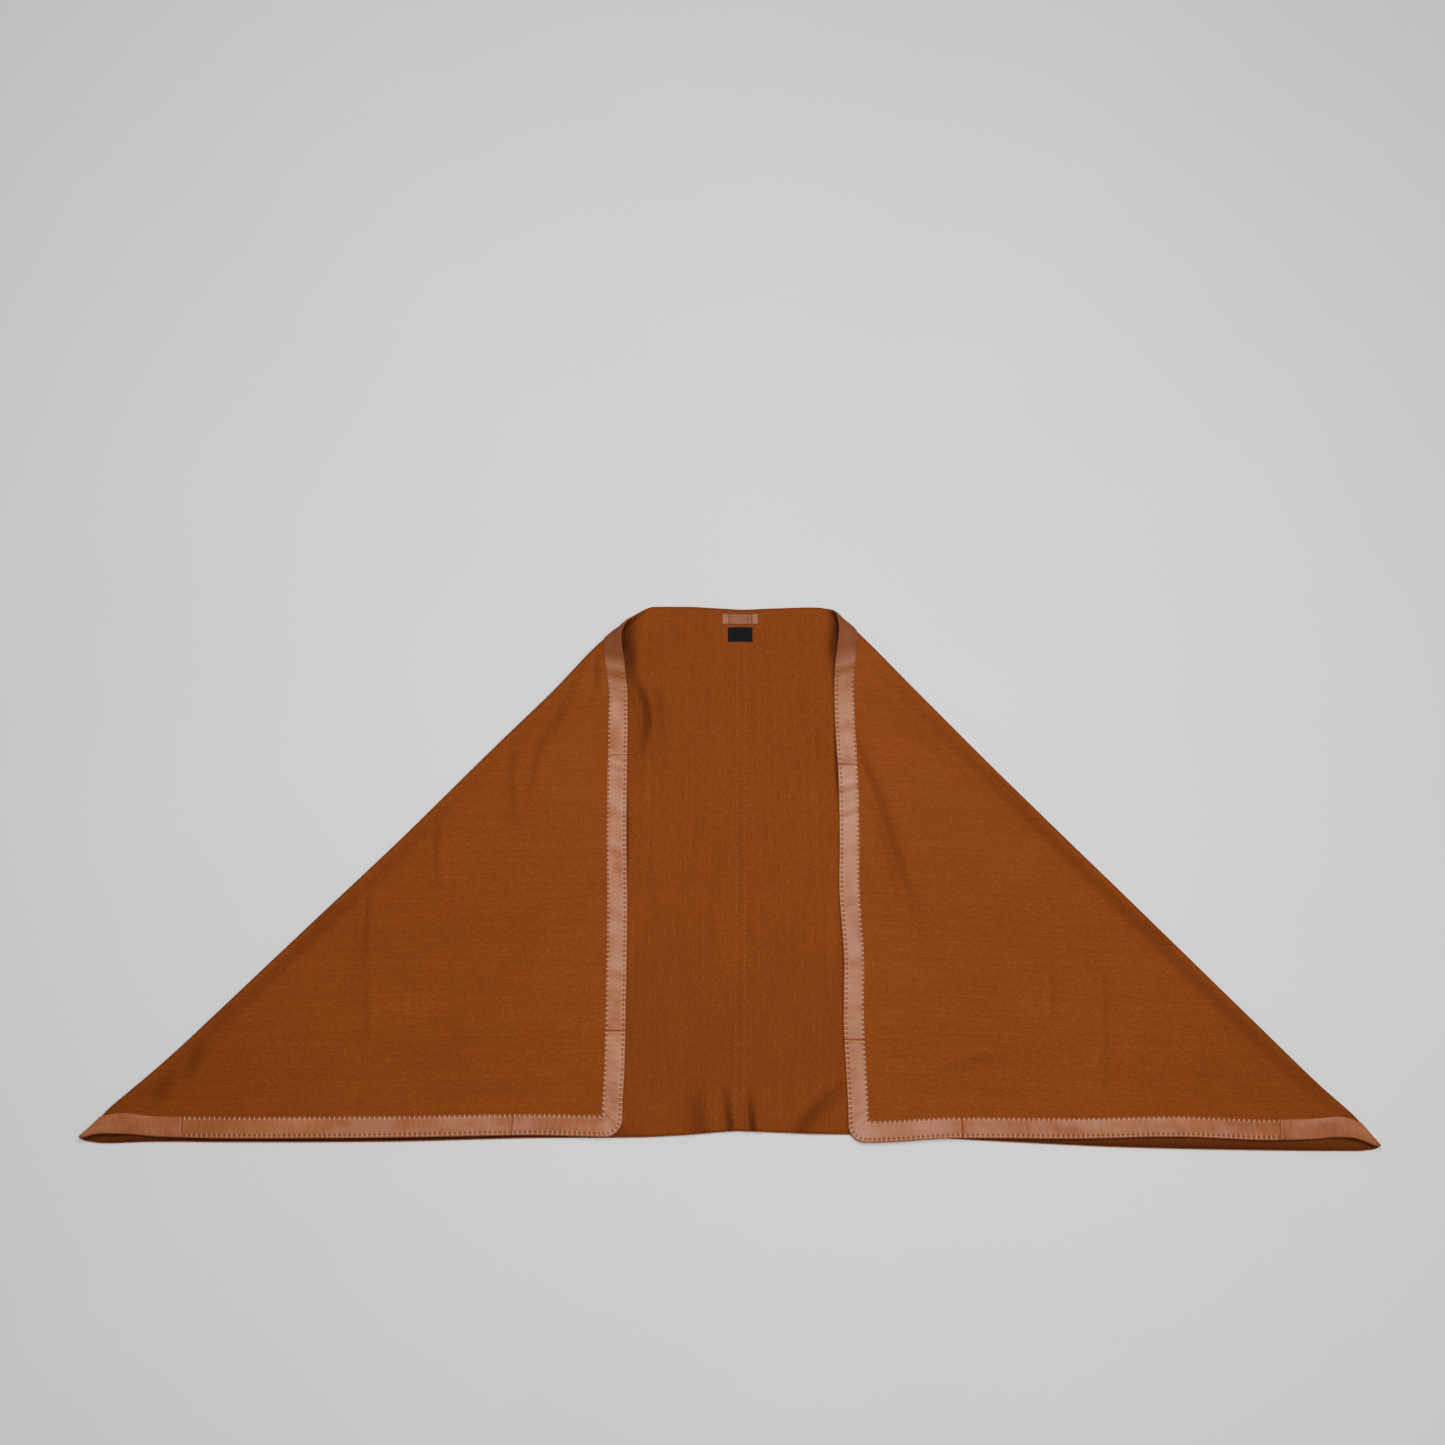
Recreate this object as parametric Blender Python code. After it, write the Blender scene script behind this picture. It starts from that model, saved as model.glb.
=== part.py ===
"""An open-front woollen poncho edged with leather, laid flat with its fronts folded over.

The cloth is one rectangle sewn from two halves at the centre back. It lies on its
back panel, inside up, and each front is folded over onto it along a soft diagonal
roll from the neck to the tip. Each half is drawn flat, as it is cut, in a plane that
the back panel lies in, and one function then lays a point of the cut in its place.
Lengths are metres, z is up, and the neck is towards +y.
"""

import math

import bmesh
import bpy
from mathutils import Vector
from mathutils.geometry import delaunay_2d_cdt

# Walls and gaps
CLOTH = 0.0020
LEATHER = 0.0012
LABEL = 0.0010
GAP = 0.0003
LAYER_GAP = 0.0010
HALF_JOINT = GAP / 2

# Leather binding, how far it holds the back's edges up, and where that fades
BAND = 0.026
RISE = LEATHER + GAP
RISE_START = 0.034
RISE_END = 0.048

# Rounded corners of the cut, and the length of leather that a tip's piece has on the
# back hem
FRONT_CORNER_RADIUS = 0.022
TIP_CORNER_RADIUS = 0.014
TIP_BAND = 0.225

# Where the shared frame's origin lies in the plan that the sizes below are read in
MIDDLE = Vector((-0.0019, 0.3588))

# Spacing of the flat drawing's points, and how far lines are drawn past the seam
EDGE_STEP = 0.025
GRID_STEP = 0.042
CLEAR_OF_LINES = 0.016
SEAM_PASS = 0.004

# Distance to the neighbours that tell which way the cloth faces at a point
NEARBY = 0.0004

# Reach of the small pulls that move the cloth in its plane, and of the fold's slip at
# the neck: along the fold, and to its back and front side
BOW_REACH = 0.105
EDGE_REACH = 0.150
HEM_REACH = 0.100
LAYER_REACH = 0.025
LIFT_REACH = 0.060
SLIP_SHARE = 0.125
SLIP_BACK = 0.017
SLIP_FRONT = 0.075

# Corners of each half in plan, outward from the centre line and up towards the neck
CORNERS = {
    "left": {
        "seam_foot": (-0.0110, 0.0135),
        "seam_top": (-0.0160, 0.7265),
        "neck": (0.1390, 0.7290),
        "tip": (0.8530, 0.0020),
        "front_foot": (0.1413, 0.0060),
    },
    "right": {
        "seam_foot": (0.0110, 0.0135),
        "seam_top": (0.0160, 0.7265),
        "neck": (0.1470, 0.7290),
        "tip": (0.8490, -0.0090),
        "front_foot": (0.1515, -0.0010),
    },
}

# Shoulder fold from neck (0) to tip (1): the roll's radius, how far the fold bows in,
# and how far the front takes from the roll down to the back panel
FOLD = {
    "left": (
        ("share", "radius", "bow", "slope"),
        (0.00, 0.0135, 0.0090, 0.110),
        (0.09, 0.0110, 0.0065, 0.090),
        (0.16, 0.0090, 0.0075, 0.060),
        (0.26, 0.0070, 0.0080, 0.042),
        (0.45, 0.0062, 0.0105, 0.034),
        (0.62, 0.0060, 0.0090, 0.034),
        (0.82, 0.0062, 0.0075, 0.036),
        (0.93, 0.0060, 0.0040, 0.046),
        (0.97, 0.0055, 0.0060, 0.050),
        (1.00, 0.0050, 0.0040, 0.055),
    ),
    "right": (
        ("share", "radius", "bow", "slope"),
        (0.00, 0.0105, 0.0040, 0.100),
        (0.09, 0.0090, 0.0010, 0.080),
        (0.18, 0.0075, 0.0025, 0.055),
        (0.32, 0.0065, 0.0040, 0.040),
        (0.54, 0.0062, 0.0025, 0.036),
        (0.86, 0.0062, 0.0010, 0.038),
        (0.95, 0.0058, 0.0020, 0.048),
        (1.00, 0.0048, 0.0045, 0.055),
    ),
}

# How far the neck end of the fold has slipped towards the tip
NECK_SLIP = {"left": 0.016, "right": 0.004}

# How far the front edge sways outward, by height above the hem
EDGE_SWAY = {
    "left": (
        ("height", "out"),
        (0.040, 0.001),
        (0.100, -0.001),
        (0.290, -0.001),
        (0.430, 0.002),
        (0.595, 0.003),
        (0.640, 0.009),
        (0.675, 0.011),
        (0.710, 0.002),
    ),
    "right": (
        ("height", "out"),
        (0.030, 0.002),
        (0.150, -0.001),
        (0.240, 0.001),
        (0.330, -0.003),
        (0.400, -0.001),
        (0.480, -0.001),
        (0.570, -0.004),
        (0.630, -0.003),
        (0.690, 0.004),
        (0.715, 0.002),
    ),
}

# How far each hem and the neck wave towards the neck, by distance from the centre line
FRONT_HEM = {
    "left": (
        ("out", "up"),
        (0.141, 0.000),
        (0.260, 0.003),
        (0.430, 0.001),
        (0.650, 0.001),
        (0.740, 0.004),
        (0.790, 0.010),
        (0.820, 0.011),
        (0.853, 0.006),
    ),
    "right": (
        ("out", "up"),
        (0.151, 0.000),
        (0.200, 0.001),
        (0.290, 0.007),
        (0.450, 0.008),
        (0.580, 0.012),
        (0.690, 0.009),
        (0.750, 0.011),
        (0.800, 0.015),
        (0.849, 0.006),
    ),
}
BACK_HEM = {
    "left": (
        ("out", "up"),
        (-0.011, 0.000),
        (0.060, -0.004),
        (0.120, -0.006),
        (0.260, -0.005),
        (0.430, -0.007),
        (0.650, -0.005),
        (0.770, -0.002),
        (0.830, 0.000),
        (0.853, 0.001),
    ),
    "right": (
        ("out", "up"),
        (0.011, 0.000),
        (0.110, -0.001),
        (0.200, 0.000),
        (0.350, -0.004),
        (0.510, -0.007),
        (0.690, -0.006),
        (0.770, -0.004),
        (0.830, 0.000),
        (0.849, 0.002),
    ),
}
NECK_WAVE = {
    "left": (
        ("out", "up"),
        (-0.016, -0.002),
        (0.020, 0.000),
        (0.060, 0.004),
        (0.110, 0.006),
        (0.139, 0.004),
    ),
    "right": (
        ("out", "up"),
        (0.016, -0.002),
        (0.060, 0.000),
        (0.110, 0.002),
        (0.147, 0.001),
    ),
}

# Where the front edge stands off the back panel
EDGE_LIFT = {
    "left": (
        ("height", "half_length", "lift"),
        (0.398, 0.060, 0.003),
        (0.560, 0.110, 0.004),
    ),
    "right": (
        ("height", "half_length", "lift"),
        (0.230, 0.080, 0.003),
        (0.497, 0.080, 0.004),
        (0.620, 0.090, 0.003),
    ),
}

# Largest creases: layer, start, bend and end in plan, height and half width
CREASES = {
    "left": (
        ("layer", "start", "bend", "end", "height", "half_width"),
        ("front", (0.202, 0.638), (0.268, 0.510), (0.273, 0.473), 0.0045, 0.016),
        ("front", (0.291, 0.530), (0.293, 0.466), (0.284, 0.412), 0.0035, 0.014),
        ("back", (0.133, 0.610), (0.106, 0.566), (0.102, 0.530), 0.0040, 0.014),
        ("back", (0.052, 0.012), (0.046, 0.048), (0.040, 0.078), 0.0030, 0.012),
    ),
    "right": (
        ("layer", "start", "bend", "end", "height", "half_width"),
        ("front", (0.176, 0.530), (0.215, 0.388), (0.237, 0.326), 0.0050, 0.016),
        ("front", (0.196, 0.436), (0.212, 0.375), (0.226, 0.320), 0.0030, 0.009),
        ("back", (0.092, 0.016), (0.115, 0.042), (0.140, 0.072), 0.0040, 0.014),
    ),
}

# Ends of the leather pieces: along the front edge from the neck, then along the front
# hem from its corner
JOINTS = {
    "left": {"shoulder": 0.2140, "front": 0.5875, "corner": 0.1430, "hem": 0.5720},
    "right": {"shoulder": 0.2274, "front": 0.5990, "corner": 0.1485, "hem": 0.5615},
}

# Patch and label inside the back neck: left, right, lower and upper edge in plan
NECK_PATCH = (-0.0117, 0.0391, 0.7039, 0.7190)
CARE_LABEL = (-0.0034, 0.0307, 0.6784, 0.6988)


def srgb(red, green, blue):
    """A screen colour of 0 to 255 as the linear colour that a shader takes."""
    channels = [value / 255 for value in (red, green, blue)]
    linear = [
        c / 12.92 if c <= 0.04045 else ((c + 0.055) / 1.055) ** 2.4 for c in channels
    ]
    return (*linear, 1.0)


def smooth(x):
    """An eased step from 0 at x = 0 to 1 at x = 1."""
    x = min(1.0, max(0.0, x))
    return x * x * (3.0 - 2.0 * x)


def hump(x):
    """A round hump, 1 at x = 0 and 0 from x = 1 on, either way."""
    return math.cos(min(1.0, abs(x)) * math.pi / 2) ** 2


def read(table, x, column):
    """A table's column at x, on a smooth curve through its rows and level past them."""
    head, *rows = table
    k = head.index(column)
    if x <= rows[0][0]:
        return rows[0][k]
    if x >= rows[-1][0]:
        return rows[-1][k]
    i = max(n for n in range(len(rows) - 1) if rows[n][0] <= x)

    def slope(n):
        if n in (0, len(rows) - 1):
            return 0.0
        return (rows[n + 1][k] - rows[n - 1][k]) / (rows[n + 1][0] - rows[n - 1][0])

    width = rows[i + 1][0] - rows[i][0]
    t = (x - rows[i][0]) / width
    return (
        rows[i][k] * (1 + 2 * t) * (1 - t) ** 2
        + rows[i + 1][k] * t * t * (3 - 2 * t)
        + width * slope(i) * t * (1 - t) ** 2
        - width * slope(i + 1) * t * t * (1 - t)
    )


def rows_of(table):
    """A table's rows as dictionaries of its named columns."""
    head, *rows = table
    return [dict(zip(head, row)) for row in rows]


def along_and_off(point, start, end):
    """How far a point is along the line from start, and how far off it, to the left."""
    run = (end - start).normalized()
    off = point - start
    return off.dot(run), run.x * off.y - run.y * off.x


def to_segment(point, start, end):
    """Distance from a point to a stretch of line, and its share along that."""
    run = end - start
    share = min(1.0, max(0.0, (point - start).dot(run) / run.length_squared))
    return (point - start - run * share).length, share


def stepped(start, end, step):
    """Points from start up to end, not counting end, about a step apart."""
    count = max(1, round((end - start).length / step))
    return [start.lerp(end, n / count) for n in range(count)]


def rounded(corner, before, after, radius, steps=5):
    """Arc that rounds a corner between the lines to its two neighbours."""
    to_before = (before - corner).normalized()
    to_after = (after - corner).normalized()
    half = math.acos(to_before.dot(to_after)) / 2
    centre = corner + (to_before + to_after).normalized() * radius / math.sin(half)
    first = corner + to_before * radius / math.tan(half) - centre
    last = corner + to_after * radius / math.tan(half) - centre
    swing = first.angle_signed(last)
    points = []
    for n in range(steps + 1):
        turn = -swing * n / steps
        cos, sin = math.cos(turn), math.sin(turn)
        points.append(
            centre + Vector((first.x * cos - first.y * sin, first.x * sin + first.y * cos))
        )
    return points


def inside(point, outline):
    """Whether a point lies inside a closed outline."""
    hit = False
    for a, b in zip(outline, outline[1:] + outline[:1]):
        if (a.y > point.y) != (b.y > point.y):
            if point.x < a.x + (point.y - a.y) * (b.x - a.x) / (b.y - a.y):
                hit = not hit
    return hit


class Half:
    """One half of the poncho: its flat cut, and where each point of it lies."""

    def __init__(self, side):
        self.side = side
        for name, point in CORNERS[side].items():
            setattr(self, name, Vector(point))
        nudge = Vector((HALF_JOINT, 0.0))
        self.seam_foot += nudge
        self.seam_top += nudge
        self.length = (self.tip - self.neck).length
        self.run = (self.tip - self.neck).normalized()
        self.out = Vector((-self.run.y, self.run.x))
        self.corner = self.unfolded(self.front_foot)

    def unfolded(self, point):
        """A plan point of the front, turned back over the fold line into the cut."""
        return point - 2 * (point - self.neck).dot(self.out) * self.out

    def off_neck(self, point):
        """How far a plan point is below the neck edge."""
        return -along_and_off(point, self.seam_top, self.neck)[1]

    def off_hem(self, point):
        """How far a plan point is above the back hem."""
        return along_and_off(point, self.seam_foot, self.tip)[1]

    def rise(self, point):
        """How far the leather under the back's edges holds the cloth up."""
        near = min(abs(self.off_neck(point)), abs(self.off_hem(point)))
        past = (near - RISE_START) / (RISE_END - RISE_START)
        return RISE * (1.0 - min(1.0, max(0.0, past)))

    def crease_height(self, point, layer):
        """Height of the creases of one layer at a plan point."""
        height = 0.0
        for crease in rows_of(CREASES[self.side]):
            if crease["layer"] != layer:
                continue
            line = [Vector(crease[name]) for name in ("start", "bend", "end")]
            first, share_first = to_segment(point, line[0], line[1])
            second, share_second = to_segment(point, line[1], line[2])
            off, share = min((first, share_first / 2), (second, 0.5 + share_second / 2))
            peak = math.sin(math.pi * (0.12 + 0.76 * share))
            height = max(height, crease["height"] * peak * hump(off / crease["half_width"]))
        return height

    def lift(self, point):
        """How far the front edge stands up at a plan point near it."""
        near = 1.0 - smooth((point.x - self.neck.x) / LIFT_REACH)
        return near * sum(
            row["lift"] * hump((point.y - row["height"]) / row["half_length"])
            for row in rows_of(EDGE_LIFT[self.side])
        )

    def pulled(self, point, front):
        """A plan point moved by the pulls of its layer; front is 0 on the back, 1 on it."""
        x, y = point
        at_edge = 1.0 - smooth((x - self.neck.x) / EDGE_REACH)
        at_front_hem = 1.0 - smooth((y - self.front_foot.y) / HEM_REACH)
        at_back_hem = 1.0 - smooth(self.off_hem(point) / HEM_REACH)
        at_neck = 1.0 - smooth(self.off_neck(point) / HEM_REACH)
        out = read(EDGE_SWAY[self.side], y, "out") * at_edge * front
        up_front = read(FRONT_HEM[self.side], x, "up") * at_front_hem
        up_back = read(BACK_HEM[self.side], x, "up") * at_back_hem
        up_neck = read(NECK_WAVE[self.side], x, "up") * at_neck
        return x + out, y + up_front * front + (up_back + up_neck) * (1.0 - front)

    def middle(self, point):
        """Where a point of the cut lies, on the middle of the cloth."""
        off = point - self.neck
        s = off.dot(self.run)
        d = off.dot(self.out)
        share = s / self.length
        radius = read(FOLD[self.side], share, "radius")
        half_turn = math.pi * radius / 2
        turn = (d + half_turn) / radius
        if turn <= 0.0:
            across, height = d, 0.0
        elif turn < math.pi:
            across = radius * math.sin(turn) - half_turn
            height = radius * (1.0 - math.cos(turn))
        else:
            across = -d
            slope = read(FOLD[self.side], share, "slope")
            down = 2 * radius - CLOTH - LAYER_GAP
            height = 2 * radius - down * smooth((d - half_turn) / slope)
        across -= read(FOLD[self.side], share, "bow") * (1.0 - smooth(abs(d) / BOW_REACH))
        slip = NECK_SLIP[self.side] * (1.0 - smooth(share / SLIP_SHARE))
        slip *= hump(d / (SLIP_FRONT if d > 0.0 else SLIP_BACK))
        plan = self.neck + self.run * (s + slip) + self.out * across
        front = smooth((d + LAYER_REACH) / (2 * LAYER_REACH))
        over = smooth((d - half_turn) / LAYER_REACH)
        under = 1.0 - smooth((d + half_turn + LAYER_REACH) / LAYER_REACH)
        height += CLOTH / 2 + self.rise(plan)
        height += (self.crease_height(plan, "front") + self.lift(plan)) * over
        height += self.crease_height(plan, "back") * under
        x, y = self.pulled(plan, front)
        return Vector((x, y, height))

    def lay(self, point, outward):
        """Where a point of the cut lies, moved out from the cloth's middle."""
        along = Vector((NEARBY, 0.0))
        up = Vector((0.0, NEARBY))
        across = self.middle(point + along) - self.middle(point - along)
        upward = self.middle(point + up) - self.middle(point - up)
        return self.middle(point) + upward.cross(across).normalized() * outward

    def outline(self):
        """Closed outline of the cut, with round front and tip corners."""
        tip = rounded(self.tip, self.seam_foot, self.corner, TIP_CORNER_RADIUS)
        front = rounded(self.corner, self.tip, self.neck, FRONT_CORNER_RADIUS)
        points = stepped(self.seam_foot, tip[0], EDGE_STEP)
        points += tip[:-1]
        points += stepped(tip[-1], front[0], EDGE_STEP)
        points += front[:-1]
        points += stepped(front[-1], self.neck, EDGE_STEP)
        points += stepped(self.neck, self.seam_top, EDGE_STEP)
        points += stepped(self.seam_top, self.seam_foot, GRID_STEP)
        return points

    def inset(self, depth):
        """Line that runs round inside the cut's bound edges, from seam to seam."""
        edges = [self.seam_foot, self.tip, self.corner, self.neck, self.seam_top]
        normals = []
        for a, b in zip(edges, edges[1:]):
            run = (b - a).normalized()
            normals.append(Vector((-run.y, run.x)))
        past_seam = Vector((-SEAM_PASS, 0.0))
        points = [self.seam_foot + normals[0] * depth + past_seam]
        for point, one, two in zip(edges[1:-1], normals, normals[1:]):
            points.append(point + (one + two) * depth / (1.0 + one.dot(two)))
        points.append(self.seam_top + normals[-1] * depth + past_seam)
        line = []
        for a, b in zip(points, points[1:]):
            line += stepped(a, b, EDGE_STEP)
        return line + [points[-1]]

    def fold_lines(self):
        """Lines of the cut along the roll and down the slope behind it."""
        lines = []
        steps = round(self.length / EDGE_STEP)
        shares = [n / steps for n in range(-1, steps + 2)]
        for part in (-1.0, -0.6, -0.2, 0.2, 0.6, 1.0):
            lines.append([self.at_fold(share, part, 0.0) for share in shares])
        for part in (0.35, 0.68, 1.0):
            lines.append([self.at_fold(share, 1.0, part) for share in shares])
        return lines

    def at_fold(self, share, roll, slope):
        """Point of the cut at a share of the fold, of the half roll and of the slope."""
        d = roll * math.pi / 2 * read(FOLD[self.side], share, "radius")
        d += slope * read(FOLD[self.side], share, "slope")
        return self.neck + self.run * share * self.length + self.out * d

    def crease_lines(self):
        """Lines of the cut along each crease's crest and both its feet."""
        lines = []
        for crease in rows_of(CREASES[self.side]):
            line = [Vector(crease[name]) for name in ("start", "bend", "end")]
            run = (line[2] - line[0]).normalized()
            aside = Vector((-run.y, run.x)) * crease["half_width"]
            for part in (-1.0, -0.5, 0.0, 0.5, 1.0):
                start, bend, end = [point + aside * part for point in line]
                plan = stepped(start, bend, EDGE_STEP)
                plan += stepped(bend, end, EDGE_STEP) + [end]
                if crease["layer"] == "front":
                    plan = [self.unfolded(point) for point in plan]
                lines.append(plan)
        return lines

    def joint_lines(self):
        """Short lines across the binding where its leather pieces meet."""
        joints = JOINTS[self.side]
        ends = [
            (self.neck, self.corner, joints["shoulder"]),
            (self.neck, self.corner, joints["front"]),
            (self.corner, self.tip, joints["corner"]),
            (self.corner, self.tip, joints["hem"]),
            (self.tip, self.seam_foot, TIP_BAND),
        ]
        lines = []
        for start, end, distance in ends:
            run = (end - start).normalized()
            point = start + run * distance
            inward = Vector((run.y, -run.x))
            lines.append((point, point + inward * BAND, run))
        return lines

    def band_of(self, point):
        """Name of the leather piece that covers a point of the cut, or None."""
        joints = JOINTS[self.side]
        top = -along_and_off(point, self.neck, self.corner)[1]
        top_in = -along_and_off(point, self.seam_top, self.neck)[1]
        along_top = along_and_off(point, self.neck, self.corner)[0]
        along_side, side = along_and_off(point, self.corner, self.tip)
        along_foot, foot = along_and_off(point, self.tip, self.seam_foot)
        near_top = (top if along_top > 0 else top_in) < BAND
        near_side = -side < BAND
        near_foot = -foot < BAND
        if near_side and near_foot:
            return "tip_band"
        if near_side and near_top:
            return "corner_band"
        if near_top:
            if along_top < joints["shoulder"]:
                return "shoulder_band"
            return "front_band" if along_top < joints["front"] else "corner_band"
        if near_side:
            if along_side < joints["corner"]:
                return "corner_band"
            return "hem_band" if along_side < joints["hem"] else "tip_band"
        if near_foot:
            return "tip_band" if along_foot < TIP_BAND else "back_hem_band"
        return None


def drawn_flat(half):
    """Triangles of the flat cut, along its bands, its roll and its creases."""
    outline = half.outline()
    lines = [outline + outline[:1], half.inset(BAND), half.inset(RISE_END)]
    lines += half.fold_lines() + half.crease_lines()
    lines += [[a, b] for a, b, run in half.joint_lines()]
    points = []
    edges = []
    segments = []
    for line in lines:
        for a, b in zip(line, line[1:]):
            edges.append((len(points), len(points) + 1))
            points += [a, b]
            segments.append((a, b))
    left = min(point.x for point in outline)
    right = max(point.x for point in outline)
    low = min(point.y for point in outline)
    high = max(point.y for point in outline)
    for i in range(int((right - left) / GRID_STEP) + 1):
        for j in range(int((high - low) / GRID_STEP) + 1):
            stagger = 0.5 * (j % 2)
            point = Vector((left + (i + stagger) * GRID_STEP, low + j * GRID_STEP))
            if not inside(point, outline):
                continue
            if min(to_segment(point, a, b)[0] for a, b in segments) > CLEAR_OF_LINES:
                points.append(point)
    verts, _, faces, *_ = delaunay_2d_cdt(points, edges, [], 0, 1e-5)
    kept = []
    for face in faces:
        middle = sum((verts[n] for n in face), Vector((0.0, 0.0))) / 3
        if inside(middle, outline):
            kept.append(tuple(face))
    return [Vector(v) for v in verts], kept


def wall(half, verts, faces, inner, outer):
    """Closed wall over some triangles of the cut, between two heights above its middle."""
    used = sorted({n for face in faces for n in face})
    place = {n: i for i, n in enumerate(used)}
    count = len(used)
    solid = [half.lay(verts[n], outer) for n in used]
    solid += [half.lay(verts[n], inner) for n in used]
    shell = [tuple(place[n] for n in face) for face in faces]
    closed = [tuple(reversed(face)) for face in shell]
    closed += [tuple(n + count for n in face) for face in shell]
    directed = {(f[i], f[(i + 1) % 3]) for f in shell for i in range(3)}
    for a, b in sorted(directed):
        if (b, a) not in directed:
            closed.append((a, b, b + count))
            closed.append((a, b + count, a + count))
    return solid, closed


def trimmed(half, verts, faces):
    """The drawing's points with those at a leather piece's ends drawn back a little."""
    used = {n for face in faces for n in face}
    moved = list(verts)
    middle = sum((verts[n] for n in used), Vector((0.0, 0.0))) / len(used)
    for start, end, run in half.joint_lines():
        for n in used:
            if to_segment(verts[n], start, end)[0] < 2e-5:
                into = 1.0 if (middle - start).dot(run) > 0 else -1.0
                moved[n] = verts[n] + run * into * HALF_JOINT
    return moved


def placed(verts, sign):
    """Points of a half in the shared frame, mirrored for the half on the left."""
    return [Vector((sign * v.x - MIDDLE.x, v.y - MIDDLE.y, v.z)) for v in verts]


def finish_of(name, colour, roughness):
    """Plain finish in the piece's own colour."""
    material = bpy.data.materials.new(name)
    material.use_nodes = True
    shader = material.node_tree.nodes["Principled BSDF"]
    shader.inputs["Base Color"].default_value = colour
    shader.inputs["Roughness"].default_value = roughness
    shader.inputs["Metallic"].default_value = 0.0
    return material


def add_piece(name, verts, faces, colour, roughness):
    """One named object from points and faces, with its normals facing out."""
    mesh = bpy.data.meshes.new(name)
    mesh.from_pydata(verts, [], faces)
    body = bmesh.new()
    body.from_mesh(mesh)
    bmesh.ops.recalc_face_normals(body, faces=body.faces)
    if body.calc_volume(signed=True) < 0:
        bmesh.ops.reverse_faces(body, faces=body.faces)
    body.to_mesh(mesh)
    body.free()
    mesh.shade_smooth()
    mesh.set_sharp_from_angle(angle=math.radians(50))
    mesh.materials.append(finish_of(name, colour, roughness))
    piece = bpy.data.objects.new(name, mesh)
    bpy.context.collection.objects.link(piece)
    return piece


def add_half(side):
    """The cloth of one half and the leather pieces sewn round its edges."""
    half = Half(side)
    sign = -1.0 if side == "left" else 1.0
    verts, faces = drawn_flat(half)
    cloth_colour = srgb(134, 66, 23)
    leather_colour = srgb(173, 119, 93)
    solid, closed = wall(half, verts, faces, -CLOTH / 2, CLOTH / 2)
    add_piece(f"cloth_{side}", placed(solid, sign), closed, cloth_colour, 0.9)
    bands = {}
    for face in faces:
        middle = sum((verts[n] for n in face), Vector((0.0, 0.0))) / 3
        name = half.band_of(middle)
        if name:
            bands.setdefault(name, []).append(face)
    inner = CLOTH / 2 + GAP
    for name, band in bands.items():
        points = trimmed(half, verts, band)
        solid, closed = wall(half, points, band, inner, inner + LEATHER)
        add_piece(f"{name}_{side}", placed(solid, sign), closed, leather_colour, 0.55)


def add_sewn_on(name, edges, thickness, colour, roughness):
    """A small piece sewn to the inside of the back, over the seam."""
    left, right, low, high = edges
    halves = {side: Half(side) for side in CORNERS}
    columns, rows = 6, 5
    verts = []
    for lift in (thickness, 0.0):
        for j in range(rows + 1):
            for i in range(columns + 1):
                x = left + (right - left) * i / columns
                y = low + (high - low) * j / rows
                half = halves["right" if x > halves["right"].seam_top.x else "left"]
                plan = Vector((x if half.side == "right" else -x, y))
                height = CLOTH + half.rise(plan) + GAP + lift
                verts.append(Vector((x - MIDDLE.x, y - MIDDLE.y, height)))
    wide = columns + 1
    layer = wide * (rows + 1)
    faces = []
    for j in range(rows):
        for i in range(columns):
            a = j * wide + i
            faces += [(a, a + 1, a + wide + 1), (a, a + wide + 1, a + wide)]
    closed = faces + [tuple(n + layer for n in reversed(face)) for face in faces]
    directed = {(f[i], f[(i + 1) % 3]) for f in faces for i in range(3)}
    for a, b in sorted(directed):
        if (b, a) not in directed:
            closed.append((b, a, a + layer))
            closed.append((b, a + layer, b + layer))
    add_piece(name, verts, closed, colour, roughness)


def main():
    for old in list(bpy.data.objects):
        bpy.data.objects.remove(old, do_unlink=True)
    for side in CORNERS:
        add_half(side)
    add_sewn_on("neck_patch", NECK_PATCH, LEATHER, srgb(148, 98, 73), 0.55)
    add_sewn_on("care_label", CARE_LABEL, LABEL, srgb(30, 28, 28), 0.6)


main()
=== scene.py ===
"""Looks of the open-front woollen poncho: cloth, lambskin bindings, stitches and light.

Each half of the cloth is drawn flat, as it is cut, in a plane that the back panel lies
in, and one function lays a point of the cut in its place. Bindings and stitches are
placed on the cut too, and moved out from the cloth. Lengths are metres, z is up, and
the neck is towards +y.
"""

import math

import bpy
import numpy as np
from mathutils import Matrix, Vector


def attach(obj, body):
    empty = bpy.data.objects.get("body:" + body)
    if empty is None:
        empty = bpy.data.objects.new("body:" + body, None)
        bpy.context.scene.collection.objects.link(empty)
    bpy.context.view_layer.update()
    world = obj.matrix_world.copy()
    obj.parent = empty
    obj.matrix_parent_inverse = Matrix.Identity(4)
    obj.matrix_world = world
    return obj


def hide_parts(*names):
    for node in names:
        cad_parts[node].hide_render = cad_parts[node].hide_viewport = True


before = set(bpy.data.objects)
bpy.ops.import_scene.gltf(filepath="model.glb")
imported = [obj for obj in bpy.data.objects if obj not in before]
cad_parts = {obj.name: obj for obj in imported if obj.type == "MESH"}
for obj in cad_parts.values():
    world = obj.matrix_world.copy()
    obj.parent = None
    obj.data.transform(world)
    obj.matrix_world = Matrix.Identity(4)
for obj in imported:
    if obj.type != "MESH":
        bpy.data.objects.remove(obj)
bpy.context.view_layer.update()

# Walls, and the gap that the front keeps to the back panel under it
CLOTH = 0.0020
LEATHER = 0.0012
GAP = 0.0003
HALF_JOINT = GAP / 2
LAYER_GAP = 0.0010
FLOOR_GAP = 0.00005

# Leather binding, how far it holds the back's edges up, and where that fades
BAND = 0.026
RISE = LEATHER + GAP
RISE_START = 0.034
RISE_END = 0.048

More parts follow.
